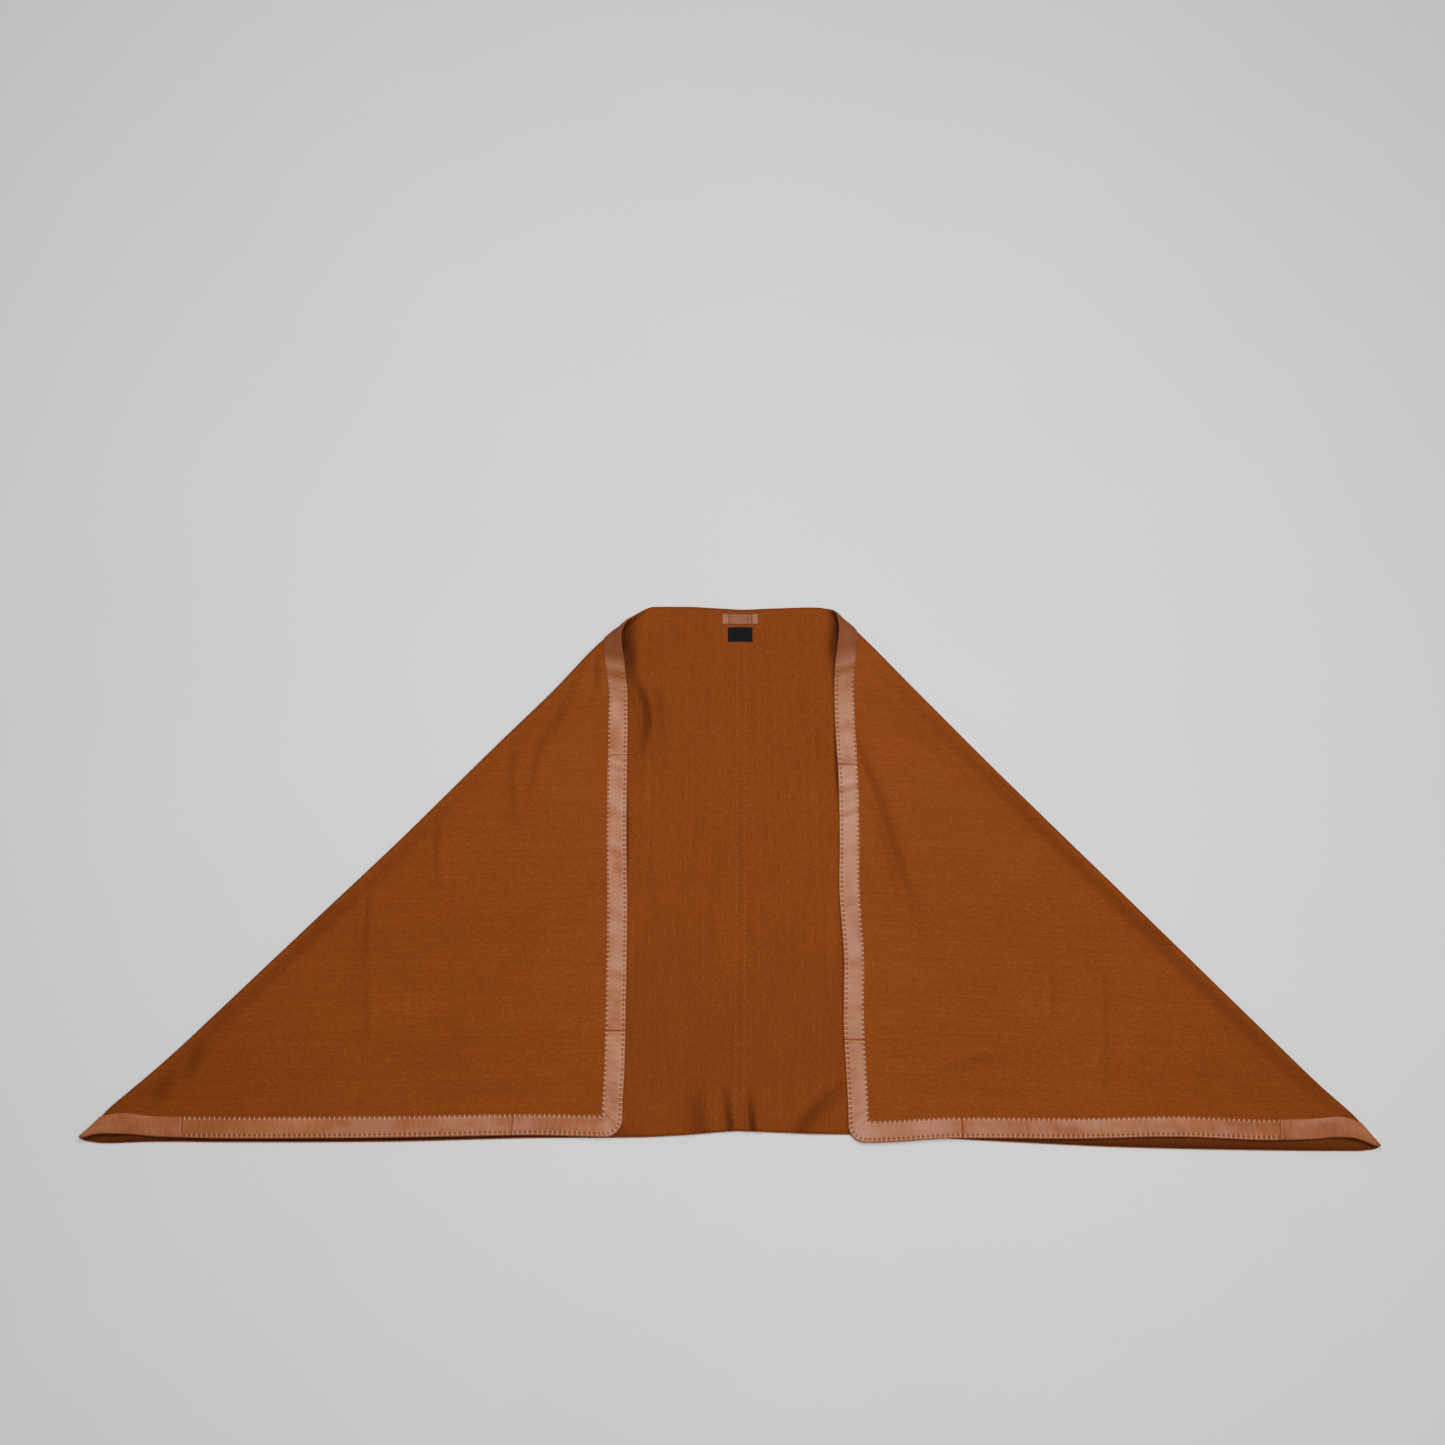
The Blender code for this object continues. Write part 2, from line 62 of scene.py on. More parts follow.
# How far the cloth's edge rounds out, rounded corners of the cut, and how far from a
# corner and from the neck the binding turns
ROUND_EDGE = 0.0003
FRONT_CORNER_RADIUS = 0.022
TIP_CORNER_RADIUS = 0.014
CORNER_ZONE = 0.040
NECK_ZONE = 0.004

# Where the shared frame's origin lies in the plan that the sizes below are read in
MIDDLE = (-0.0019, 0.3588)

# Spacing of the points of the cloth, finer in its open back part, and of the leather,
# and how far apart two points are that tell which way the cloth faces
CLOTH_STEP = 0.0039
OPEN_STEP = 0.0025
OPEN_WIDTH = 0.175
ROW_STEP = 0.0040
LEATHER_STEP = 0.0010
NEARBY = 0.0004

# How far off the centre back seam the cloth's first points are, and the open part's
NEAR_SEAM = (0.0006, 0.0016, 0.0028, 0.0055, 0.0068, 0.0085)
OPEN_START = 0.0108

# Third part of the "cut" that points of the cloth carry: this much on its outer side,
# as much below 0 on its inner side, and 0 at its edge
SIDE = 0.01

# Reach of the small pulls that move the cloth in its plane, and of the fold's slip at
# the neck: along the fold, and to its back and front side
BOW_REACH = 0.105
EDGE_REACH = 0.150
HEM_REACH = 0.100
LAYER_REACH = 0.025
LIFT_REACH = 0.060
SLIP_SHARE = 0.125
SLIP_BACK = 0.017
SLIP_FRONT = 0.075

# Width of the front beside its bound edges that wavers more, and how far from the
# fronts the back panel's unevenness fades
BOUND_REACH = 0.040
OPEN_FADE = 0.050

# Unevenness of the front and of the open back, broad and fine, and the front's waver
# beside its bound edges, each with its height, its wavelength and its seed
FRONT_UNEVEN = ((0.0007, 0.120, 11), (0.00022, 0.034, 12))
BACK_UNEVEN = ((0.0003, 0.090, 21), (0.00012, 0.026, 22))
FRONT_WAVER = (0.0007, 0.055, 13)

# Stitches of the binding: pitch, length, how far they keep from a joint, thread's
# radius, and how far in its rows are
STITCH = 0.0065
STITCH_LENGTH = 0.0042
JOINT_CLEAR = 0.0030
THREAD = 0.00040
INNER_ROW = 0.0245
OUTER_ROW = 0.0027

# How unevenly the stitches lie along and across their row, how high they arch, how far
# their ends sink into the leather, and how far they all sink where it is loose
STITCH_UNEVEN = (0.00022, 0.00018)
STITCH_ARCH = 0.00058
STITCH_SINK = 0.00040
LOOSE_SINK = 0.0006

# Backs of the inner row's stitches on the cloth's inner side: their length, thread,
# unevenness along and across, arch, and how far their ends sink
DASH_LENGTH = 0.0030
DASH_THREAD = 0.00026
DASH_UNEVEN = (0.0003, 0.0002)
DASH_ARCH = 0.00022
DASH_SINK = 0.00018

# Centre back seam: how far off it its row of stitches is, their pitch, length, thread,
# unevenness along, arch and sunk ends, and how far from the hem and the neck they start
SEAM_ROW = 0.0055
SEAM_STITCH = 0.0062
SEAM_STITCH_LENGTH = 0.0022
SEAM_THREAD = 0.00042
SEAM_UNEVEN = 0.0002
SEAM_ARCH = 0.00026
SEAM_SINK = 0.00020
SEAM_CLEAR = 0.004

# How much the seam's allowance thickens the cloth, how far past its row it starts to
# fade and how fast, and how deep its row pulls it in, with half that groove's width
ALLOWANCE = 0.0003
ALLOWANCE_EDGE = 0.0010
ALLOWANCE_FADE = 0.0030
ROW_GROOVE = 0.00008
ROW_GROOVE_HALF = 0.0013

# Points along a stitch of the binding and along a smaller one, and their thread's sides
STITCH_POINTS = 5
SMALL_POINTS = 4
THREAD_SIDES = 6
SMALL_SIDES = 5

# Seeds of the random draws, for the left half and for the right
SEEDS = {"leather": (40, 60), "stitches": (5, 6), "dashes": (15, 16), "seam": (25, 26)}

# Relief of the leather: a stitch's pucker and the ridge between two, how far both
# reach, fine and broad wrinkles, the sides of a bend, how much bends and wrinkles
# slant, a piece's turned end and the drop at it
PUCKER = 0.00085
RIDGE = 0.00030
RIDGE_REACH = 0.0050
FINE_WRINKLE = 0.00012
BROAD_WRINKLE = 0.00036
BEND = 0.0012
BEND_SIDES = 2.6
SLANT = 0.25
TURNED_END = 0.00060
END_DROP = 0.00100

# Length over which a ridge rises beside a stitch, half widths of the rows' puckers, how
# much the stitches' pull varies and over what length, wavelengths of the wrinkles, how
# far from a piece's start its turned end is highest, half that one's width, and how far
# the drop at a piece's end reaches
RIDGE_EASE = 0.0016
INNER_PUCKER_HALF = 0.0030
OUTER_PUCKER_HALF = 0.0026
PULL_VARIES = 0.25
PULL_WAVE = 0.050
FINE_WAVE = 0.011
BROAD_WAVE = 0.034
TURN_AT = 0.0028
TURN_HALF = 0.0026
END_REACH = 0.0010

# Small tucks of the leather beside its rows of stitches: how many along one half, how
# far from the row they are, their least and greatest height, and half their size
# along the edge and across it
TUCKS = 60
TUCK_OFF_ROW = 0.0030
TUCK_HEIGHTS = (0.0002, 0.0006)
TUCK_HALF_SIZES = (0.0026, 0.0090)

# Share of its relief that leather keeps where it faces down, and its greatest there
CALMEST = 0.16
CALM_RISE = 0.00018

# Points at each end of a leather piece, how far from it its even points start, and how
# far apart two pieces lie in the pattern of their skin
END_POINTS = (0.0, 0.0005, 0.0011, 0.0019)
EVEN_START = 0.0028
SKIN_APART = 0.173

# Leather over the shoulder, which the stitches pull less and which has painted shade:
# how far below the neck its middle is, half its length, and how fast it fades. Below,
# how dark the painted shade is there and along the front hem, and over what length the
# hem's painted shade begins
LOOSE = (0.036, 0.030, 0.030)
DARK = (0.044, 0.046, 0.060)
SHOULDER_DARK = {"left": 0.64, "right": 0.56}
HEM_DARK = 0.10
HEM_DARK_FADE = 0.030

# How much looser the leather is there and in the first stretch of the tip's piece, over
# what length that stretch begins, how long it is, and over what length it ends
LOOSENESS = 0.9
TIP_EASE = 0.008
TIP_LOOSE = 0.200
TIP_FADE = 0.030

# Corners of each half in plan, outward from the centre line and up towards the neck
CORNERS = {
    "left": {
        "seam_foot": (-0.01085, 0.0135),
        "seam_top": (-0.01585, 0.7265),
        "neck": (0.1390, 0.7290),
        "tip": (0.8530, 0.0020),
        "front_foot": (0.1413, 0.0060),
    },
    "right": {
        "seam_foot": (0.01115, 0.0135),
        "seam_top": (0.01615, 0.7265),
        "neck": (0.1470, 0.7290),
        "tip": (0.8490, -0.0090),
        "front_foot": (0.1515, -0.0010),
    },
}

# Shoulder fold from neck (0) to tip (1): the roll's radius, how far the fold bows in,
# how far the front takes from the roll down to the back panel, and the depth of the
# trough beside the roll. Below, the trough's place off the roll, half its width, and
# how much painted shade in the cloth's colour a metre of its depth would give
FOLD = {
    "left": (
        ("share", "radius", "bow", "slope", "trough"),
        (0.00, 0.0135, 0.0090, 0.110, 0.0000),
        (0.09, 0.0110, 0.0065, 0.090, 0.0004),
        (0.16, 0.0090, 0.0075, 0.060, 0.0010),
        (0.26, 0.0070, 0.0080, 0.042, 0.0010),
        (0.45, 0.0062, 0.0105, 0.034, 0.0020),
        (0.62, 0.0060, 0.0090, 0.034, 0.0032),
        (0.82, 0.0062, 0.0075, 0.036, 0.0024),
        (0.93, 0.0060, 0.0040, 0.046, 0.0016),
        (0.97, 0.0055, 0.0060, 0.050, 0.0008),
        (1.00, 0.0050, 0.0040, 0.055, 0.0000),
    ),
    "right": (
        ("share", "radius", "bow", "slope", "trough"),
        (0.00, 0.0105, 0.0040, 0.100, 0.0000),
        (0.09, 0.0090, 0.0010, 0.080, 0.0006),
        (0.18, 0.0075, 0.0025, 0.055, 0.0018),
        (0.32, 0.0065, 0.0040, 0.040, 0.0030),
        (0.54, 0.0062, 0.0025, 0.036, 0.0034),
        (0.86, 0.0062, 0.0010, 0.038, 0.0030),
        (0.95, 0.0058, 0.0020, 0.048, 0.0012),
        (1.00, 0.0048, 0.0045, 0.055, 0.0000),
    ),
}
TROUGH_AT = 0.010
TROUGH_HALF = 0.015
TROUGH_DARK = 72.0

# How far the neck end of the fold has slipped towards the tip
NECK_SLIP = {"left": 0.016, "right": 0.004}

# How far the front edge sways outward, by height above the hem
EDGE_SWAY = {
    "left": (
        ("height", "out"),
        (0.040, 0.001), (0.100, -0.001), (0.290, -0.001), (0.430, 0.002),
        (0.595, 0.003), (0.640, 0.009), (0.675, 0.011), (0.710, 0.002),
    ),
    "right": (
        ("height", "out"),
        (0.030, 0.002), (0.150, -0.001), (0.240, 0.001), (0.330, -0.003),
        (0.400, -0.001), (0.480, -0.001), (0.570, -0.004), (0.630, -0.003),
        (0.690, 0.004), (0.715, 0.002),
    ),
}

# How far each hem and the neck wave towards the neck, by distance from the centre line
FRONT_HEM = {
    "left": (
        ("out", "up"),
        (0.141, 0.000), (0.260, 0.003), (0.430, 0.001), (0.650, 0.001), (0.740, 0.004),
        (0.790, 0.010), (0.820, 0.011), (0.853, 0.006),
    ),
    "right": (
        ("out", "up"),
        (0.151, 0.000), (0.200, 0.001), (0.290, 0.007), (0.450, 0.008), (0.580, 0.012),
        (0.690, 0.009), (0.750, 0.011), (0.800, 0.015), (0.849, 0.006),
    ),
}
BACK_HEM = {
    "left": (
        ("out", "up"),
        (-0.011, 0.000), (0.060, -0.004), (0.120, -0.006), (0.260, -0.005),
        (0.430, -0.007), (0.650, -0.005), (0.770, -0.002), (0.830, 0.000),
        (0.853, 0.001),
    ),
    "right": (
        ("out", "up"),
        (0.011, 0.000), (0.110, -0.001), (0.200, 0.000), (0.350, -0.004),
        (0.510, -0.007), (0.690, -0.006), (0.770, -0.004), (0.830, 0.000),
        (0.849, 0.002),
    ),
}
NECK_WAVE = {
    "left": (
        ("out", "up"),
        (-0.016, -0.002), (0.020, 0.000), (0.060, 0.004), (0.110, 0.006),
        (0.139, 0.004),
    ),
    "right": (
        ("out", "up"),
        (0.016, -0.002), (0.060, 0.000), (0.110, 0.002), (0.147, 0.001),
    ),
}

# Where the front edge stands off the back panel
EDGE_LIFT = {
    "left": (
        ("height", "half_length", "lift"),
        (0.398, 0.060, 0.003),
        (0.560, 0.110, 0.004),
    ),
    "right": (
        ("height", "half_length", "lift"),
        (0.230, 0.080, 0.003),
        (0.497, 0.080, 0.004),
        (0.620, 0.090, 0.003),
    ),
}

# Creases: start, bend and end in plan, height and half width of the low ridge, half
# width of the valley that runs along it, and how dark its painted shade is. Rows of
# no height are only a painted shadow, beside the front's bound edge and under the
# front hem
CREASE = ("start", "bend", "end", "height", "half_width", "valley", "dark")
CREASES = {
    ("left", "front"): (
        CREASE,
        ((0.176, 0.676), (0.224, 0.602), (0.250, 0.540), 0.0036, 0.018, 0.008, 0.22),
        ((0.252, 0.550), (0.268, 0.508), (0.273, 0.450), 0.0026, 0.020, 0.009, 0.17),
        ((0.291, 0.562), (0.301, 0.492), (0.286, 0.406), 0.0028, 0.020, 0.009, 0.17),
        ((0.170, 0.672), (0.178, 0.642), (0.184, 0.606), 0.0040, 0.018, 0.008, 0.28),
        ((0.399, 0.450), (0.401, 0.396), (0.393, 0.334), 0.0032, 0.016, 0.006, 0.22),
        ((0.487, 0.360), (0.489, 0.290), (0.485, 0.210), 0.0032, 0.017, 0.006, 0.20),
        ((0.486, 0.240), (0.482, 0.170), (0.480, 0.100), 0.0016, 0.017, 0.006, 0.12),
        ((0.684, 0.146), (0.706, 0.112), (0.716, 0.080), 0.0042, 0.027, 0.014, 0.32),
        ((0.726, 0.104), (0.743, 0.074), (0.756, 0.046), 0.0042, 0.027, 0.014, 0.32),
        ((0.240, 0.330), (0.262, 0.250), (0.250, 0.160), 0.0018, 0.030, 0.000, 0.00),
        ((0.360, 0.210), (0.350, 0.140), (0.362, 0.080), 0.0016, 0.026, 0.000, 0.00),
    ),
    ("left", "back"): (
        CREASE,
        ((0.150, 0.722), (0.150, 0.675), (0.141, 0.606), 0.0140, 0.024, 0.000, 0.66),
        ((0.146, 0.638), (0.116, 0.582), (0.124, 0.522), 0.0060, 0.022, 0.009, 0.46),
        ((0.100, 0.610), (0.097, 0.575), (0.094, 0.532), 0.0030, 0.018, 0.008, 0.16),
        ((0.036, -0.024), (0.042, 0.022), (0.048, 0.070), 0.0036, 0.030, 0.016, 0.32),
        ((-0.003, -0.026), (0.001, 0.016), (0.007, 0.066), 0.0046, 0.020, 0.007, 0.52),
        ((0.143, 0.470), (0.1415, 0.395), (0.142, 0.330), 0.0000, 0.006, 0.000, 0.60),
        ((0.130, 0.000), (0.500, -0.004), (0.880, -0.002), 0.0000, 0.040, 0.000, 1.00),
        ((0.004, 0.500), (0.007, 0.360), (0.003, 0.210), 0.0012, 0.020, 0.000, 0.00),
        ((0.060, 0.440), (0.066, 0.330), (0.058, 0.230), 0.0012, 0.026, 0.000, 0.00),
        ((0.100, 0.360), (0.090, 0.290), (0.096, 0.220), 0.0012, 0.024, 0.000, 0.00),
    ),
    ("right", "front"): (
        CREASE,
        ((0.166, 0.566), (0.212, 0.424), (0.248, 0.296), 0.0044, 0.022, 0.009, 0.26),
        ((0.196, 0.450), (0.213, 0.375), (0.232, 0.300), 0.0030, 0.018, 0.007, 0.15),
        ((0.497, 0.218), (0.494, 0.140), (0.490, 0.064), 0.0026, 0.015, 0.006, 0.14),
        ((0.428, 0.218), (0.427, 0.188), (0.426, 0.156), 0.0028, 0.014, 0.006, 0.14),
        ((0.264, 0.083), (0.312, 0.101), (0.360, 0.107), 0.0028, 0.016, 0.006, 0.16),
        ((0.300, 0.250), (0.286, 0.180), (0.300, 0.120), 0.0018, 0.028, 0.000, 0.00),
        ((0.600, 0.150), (0.610, 0.100), (0.596, 0.060), 0.0018, 0.022, 0.000, 0.00),
    ),
    ("right", "back"): (
        CREASE,
        ((0.156, 0.726), (0.152, 0.694), (0.148, 0.636), 0.0100, 0.020, 0.000, 0.72),
        ((0.086, -0.020), (0.100, 0.026), (0.154, 0.072), 0.0040, 0.030, 0.014, 0.36),
        ((0.031, -0.026), (0.028, 0.014), (0.025, 0.064), 0.0052, 0.020, 0.007, 0.54),
        ((0.150, 0.580), (0.1475, 0.510), (0.150, 0.440), 0.0000, 0.008, 0.000, 0.75),
        ((0.160, -0.006), (0.520, -0.012), (0.880, -0.014), 0.0000, 0.040, 0.000, 0.85),
        ((0.098, 0.560), (0.094, 0.440), (0.100, 0.330), 0.0013, 0.024, 0.000, 0.00),
        ((0.048, 0.380), (0.052, 0.280), (0.046, 0.190), 0.0012, 0.022, 0.000, 0.00),
    ),
}

# A crease's ends as a share of its length, how full its length's curve is, its width at
# the ends as a share of the widest, its valley's depth as a share of its height, how
# much wider the painted shade is, and how far from the seam creases start and how fast
BLUNT = 0.06
FULLNESS = 0.8
NARROW = 0.55
VALLEY_DEPTH = 0.95
VALLEY_DARK = 1.4
OFF_SEAM = 0.001
SEAM_EASE = 0.008

# Ends of the leather pieces: two along the front edge from the neck, two along the
# front hem from its corner, and that of the tip's piece along the back hem from the tip
JOINTS = {
    "left": {"shoulder": 0.2140, "front": 0.5875, "corner": 0.1430, "hem": 0.5720},
    "right": {"shoulder": 0.2274, "front": 0.5990, "corner": 0.1485, "hem": 0.5615},
}
TIP_BAND = 0.2250
BANDS = [
    f"{part}_band" for part in ("shoulder", "front", "corner", "hem", "tip", "back_hem")
]

# Section of the leather: distance in from the edge, height above the cloth's middle,
# and the share of its relief that it takes, which is more than FACE on its face
FACE = 0.15
BAND_SECTION = (
    ("across", "height", "relief"),
    (0.0258, 0.00104, 0.0),
    (0.0190, 0.00104, 0.0),
    (0.0100, 0.00104, 0.0),
    (0.0030, 0.00104, 0.0),
    (-0.0001, 0.00100, 0.0),
    (-0.0002, 0.00030, 0.0),
    (-0.0003, -0.00050, 0.0),
    (-0.0008, -0.00075, 0.0),
    (-0.0013, -0.00040, 0.0),
    (-0.0015, 0.00040, 0.1),
    (-0.0012, 0.00130, 0.4),
    (-0.0005, 0.00195, 0.8),
    (0.0004, 0.00222, 1.0),
    (0.0014, 0.00226, 1.0),
    (0.0022, 0.00224, 1.0),
    (0.0030, 0.00222, 1.0),
    (0.0038, 0.00224, 1.0),
    (0.0048, 0.00226, 1.0),
    (0.0062, 0.00226, 1.0),
    (0.0080, 0.00224, 1.0),
    (0.0105, 0.00222, 1.0),
    (0.0130, 0.00220, 1.0),
    (0.0155, 0.00222, 1.0),
    (0.0178, 0.00224, 1.0),
    (0.0198, 0.00226, 1.0),
    (0.0212, 0.00226, 1.0),
    (0.0222, 0.00224, 1.0),
    (0.0232, 0.00222, 1.0),
    (0.0241, 0.00220, 1.0),
    (0.0249, 0.00212, 0.9),
    (0.0256, 0.00190, 0.6),
    (0.0261, 0.00150, 0.2),
)

# Bends across the front edge's leather: how far below the neck, half length of their
# valley along the edge, and their depth as a share of the deepest. Their sides rise,
# and the leather's colour takes painted shade in the valleys and painted highlights
# on the sides
BENDS = {
    "left": (
        ("below", "half_length", "depth"),
        (0.104, 0.014, 0.60),
        (0.140, 0.010, 0.30),
        (0.222, 0.006, 0.60),
        (0.236, 0.008, 0.50),
        (0.300, 0.016, 0.45),
        (0.352, 0.012, 0.40),
        (0.440, 0.016, 0.35),
        (0.520, 0.012, 0.45),
        (0.640, 0.014, 0.35),
    ),
    "right": (
        ("below", "half_length", "depth"),
        (0.098, 0.012, 0.45),
        (0.176, 0.018, 0.50),
        (0.226, 0.012, 0.40),
        (0.264, 0.009, 1.00),
        (0.297, 0.009, 0.85),
        (0.350, 0.014, 0.35),
        (0.420, 0.013, 0.40),
        (0.500, 0.016, 0.35),
        (0.560, 0.012, 0.45),
        (0.650, 0.014, 0.35),
    ),
}

# Patch and label inside the back neck: left, right, lower and upper edge in plan, and
# how far from the patch's middle its folded ends start
NECK_PATCH = (-0.0117, 0.0391, 0.7039, 0.7190)
CARE_LABEL = (-0.0034, 0.0307, 0.6784, 0.6988)
PATCH_FOLD = 0.0160

# The patch's sag, the width of its folded ends, how much thicker they are and how fast
# they rise, the depth, place and half width of the groove beside them, the height and
# pitch of its ribs, the height, wavelength and seed of its wrinkles, and its round rim
PATCH_SAG = 0.0007
FOLDED_WIDTH = 0.0090
FOLDED_EXTRA = 0.00045
FOLDED_RISE = 0.0012
PATCH_GROOVE = (0.00040, 0.0092, 0.0011)
PATCH_RIBS = (0.00012, 0.0042)
PATCH_WRINKLES = (0.00010, 0.009, 71)
PATCH_RIM = 0.0011

# The label's thickness and sag, the height, place and half width of its ridge by its
# sewn ends, how far its middle stands up, and its wrinkles, as the patch's
LABEL = 0.0005
LABEL_SAG = 0.0004
LABEL_RIDGE = (0.00035, 0.0016, 0.0014)
LABEL_PUFF = 0.00030
LABEL_WRINKLES = (0.00008, 0.008, 72)

# Studio: the floor's half width and height, the lamp's place, aim, size and power, the
# light from all round, and the camera's place, tilt and lens
FLOOR_HALF = 12.0
FLOOR_LEVEL = -0.0002
LAMP_AT = (0.15, 0.28, 2.1)
LAMP_AIM = (0.0, 0.2, 0.0)
LAMP_SIZE = (1.9, 0.80)
LAMP_POWER = 73.0
LIGHT_AROUND = 0.22
CAMERA_AT = (-0.00915, -0.4815, 2.560)
CAMERA_TILT = 15.0
LENS = 48.0
SENSOR = 36.0


def smooth(x):
    """An eased step from 0 at x = 0 to 1 at x = 1."""
    x = np.clip(x, 0.0, 1.0)
    return x * x * (3.0 - 2.0 * x)


def hump(x):
    """A round hump, 1 at x = 0 and 0 from x = 1 on, either way."""
    return np.cos(np.clip(np.abs(x), 0.0, 1.0) * np.pi / 2) ** 2


def column(table, name):
    """One named column of a table."""
    head, *rows = table
    return np.array([row[head.index(name)] for row in rows])


def read(table, x, name):
    """A table's column at each x, on a smooth curve through its rows, level past them."""
    at = column(table, table[0][0])
    value = column(table, name)
    slope = np.zeros(len(at))
    slope[1:-1] = (value[2:] - value[:-2]) / (at[2:] - at[:-2])
    x = np.clip(x, at[0], at[-1])
    i = np.clip(np.searchsorted(at, x, side="right") - 1, 0, len(at) - 2)
    width = at[i + 1] - at[i]
    t = (x - at[i]) / width
    return (
        value[i] * (1 + 2 * t) * (1 - t) ** 2
        + value[i + 1] * t * t * (3 - 2 * t)
        + width * slope[i] * t * (1 - t) ** 2
        - width * slope[i + 1] * t * t * (1 - t)
    )


def rows_of(table):
    """A table's rows as dictionaries of its named columns."""
    head, *rows = table
    return [dict(zip(head, row)) for row in rows]


def ripple(points, wavelength, seed):
    """An uneven wave over some points, from about -1 to 1, of roughly that wavelength."""
    chance = np.random.default_rng(seed)
    total = np.zeros(len(points))
    for turn in chance.uniform(0.0, 2 * np.pi, 9):
        reach = wavelength * chance.uniform(0.7, 1.7)
        way = np.array([np.cos(turn), np.sin(turn)])
        total += np.sin(points @ way * 2 * np.pi / reach + chance.uniform(0, 2 * np.pi))
    return total / 4.0


def wander(along, wavelength, seed):
    """An uneven wave along a line, from about -1 to 1, of roughly that wavelength."""
    return ripple(np.column_stack([along, np.zeros(len(along))]), wavelength * 0.64, seed)


def uneven(points, height, wavelength, seed):
    """A small uneven rise over some points, which never dips."""
    return height * (1.0 + np.clip(ripple(points, wavelength, seed), -1, 1))


def bent_line(start, bend, end):
    """Points along a smooth line from start through bend to end."""
    start, bend, end = np.array(start), np.array(bend), np.array(end)
    pull = 2 * bend - (start + end) / 2
    t = np.linspace(0.0, 1.0, 15)[:, None]
    return start * (1 - t) ** 2 + pull * 2 * t * (1 - t) + end * t * t


def to_line(points, line):
    """Distance from each point to a line of points, and its share along that."""
    best = np.full(len(points), np.inf)
    share = np.zeros(len(points))
    for i, (a, b) in enumerate(zip(line, line[1:])):
        run = b - a
        t = np.clip((points - a) @ run / (run @ run), 0.0, 1.0)
        away = np.hypot(*(points - a - t[:, None] * run).T)
        nearer = away < best
        best = np.where(nearer, away, best)
        share = np.where(nearer, (i + t) / (len(line) - 1), share)
    return best, share


def unit(vectors):
    """Each vector at length 1."""
    return vectors / np.linalg.norm(vectors, axis=-1, keepdims=True)


def off_line(points, start, end):
    """How far each point is off the line from start to end, to its left."""
    run = unit(end - start)
    return run[0] * (points[:, 1] - start[1]) - run[1] * (points[:, 0] - start[0])


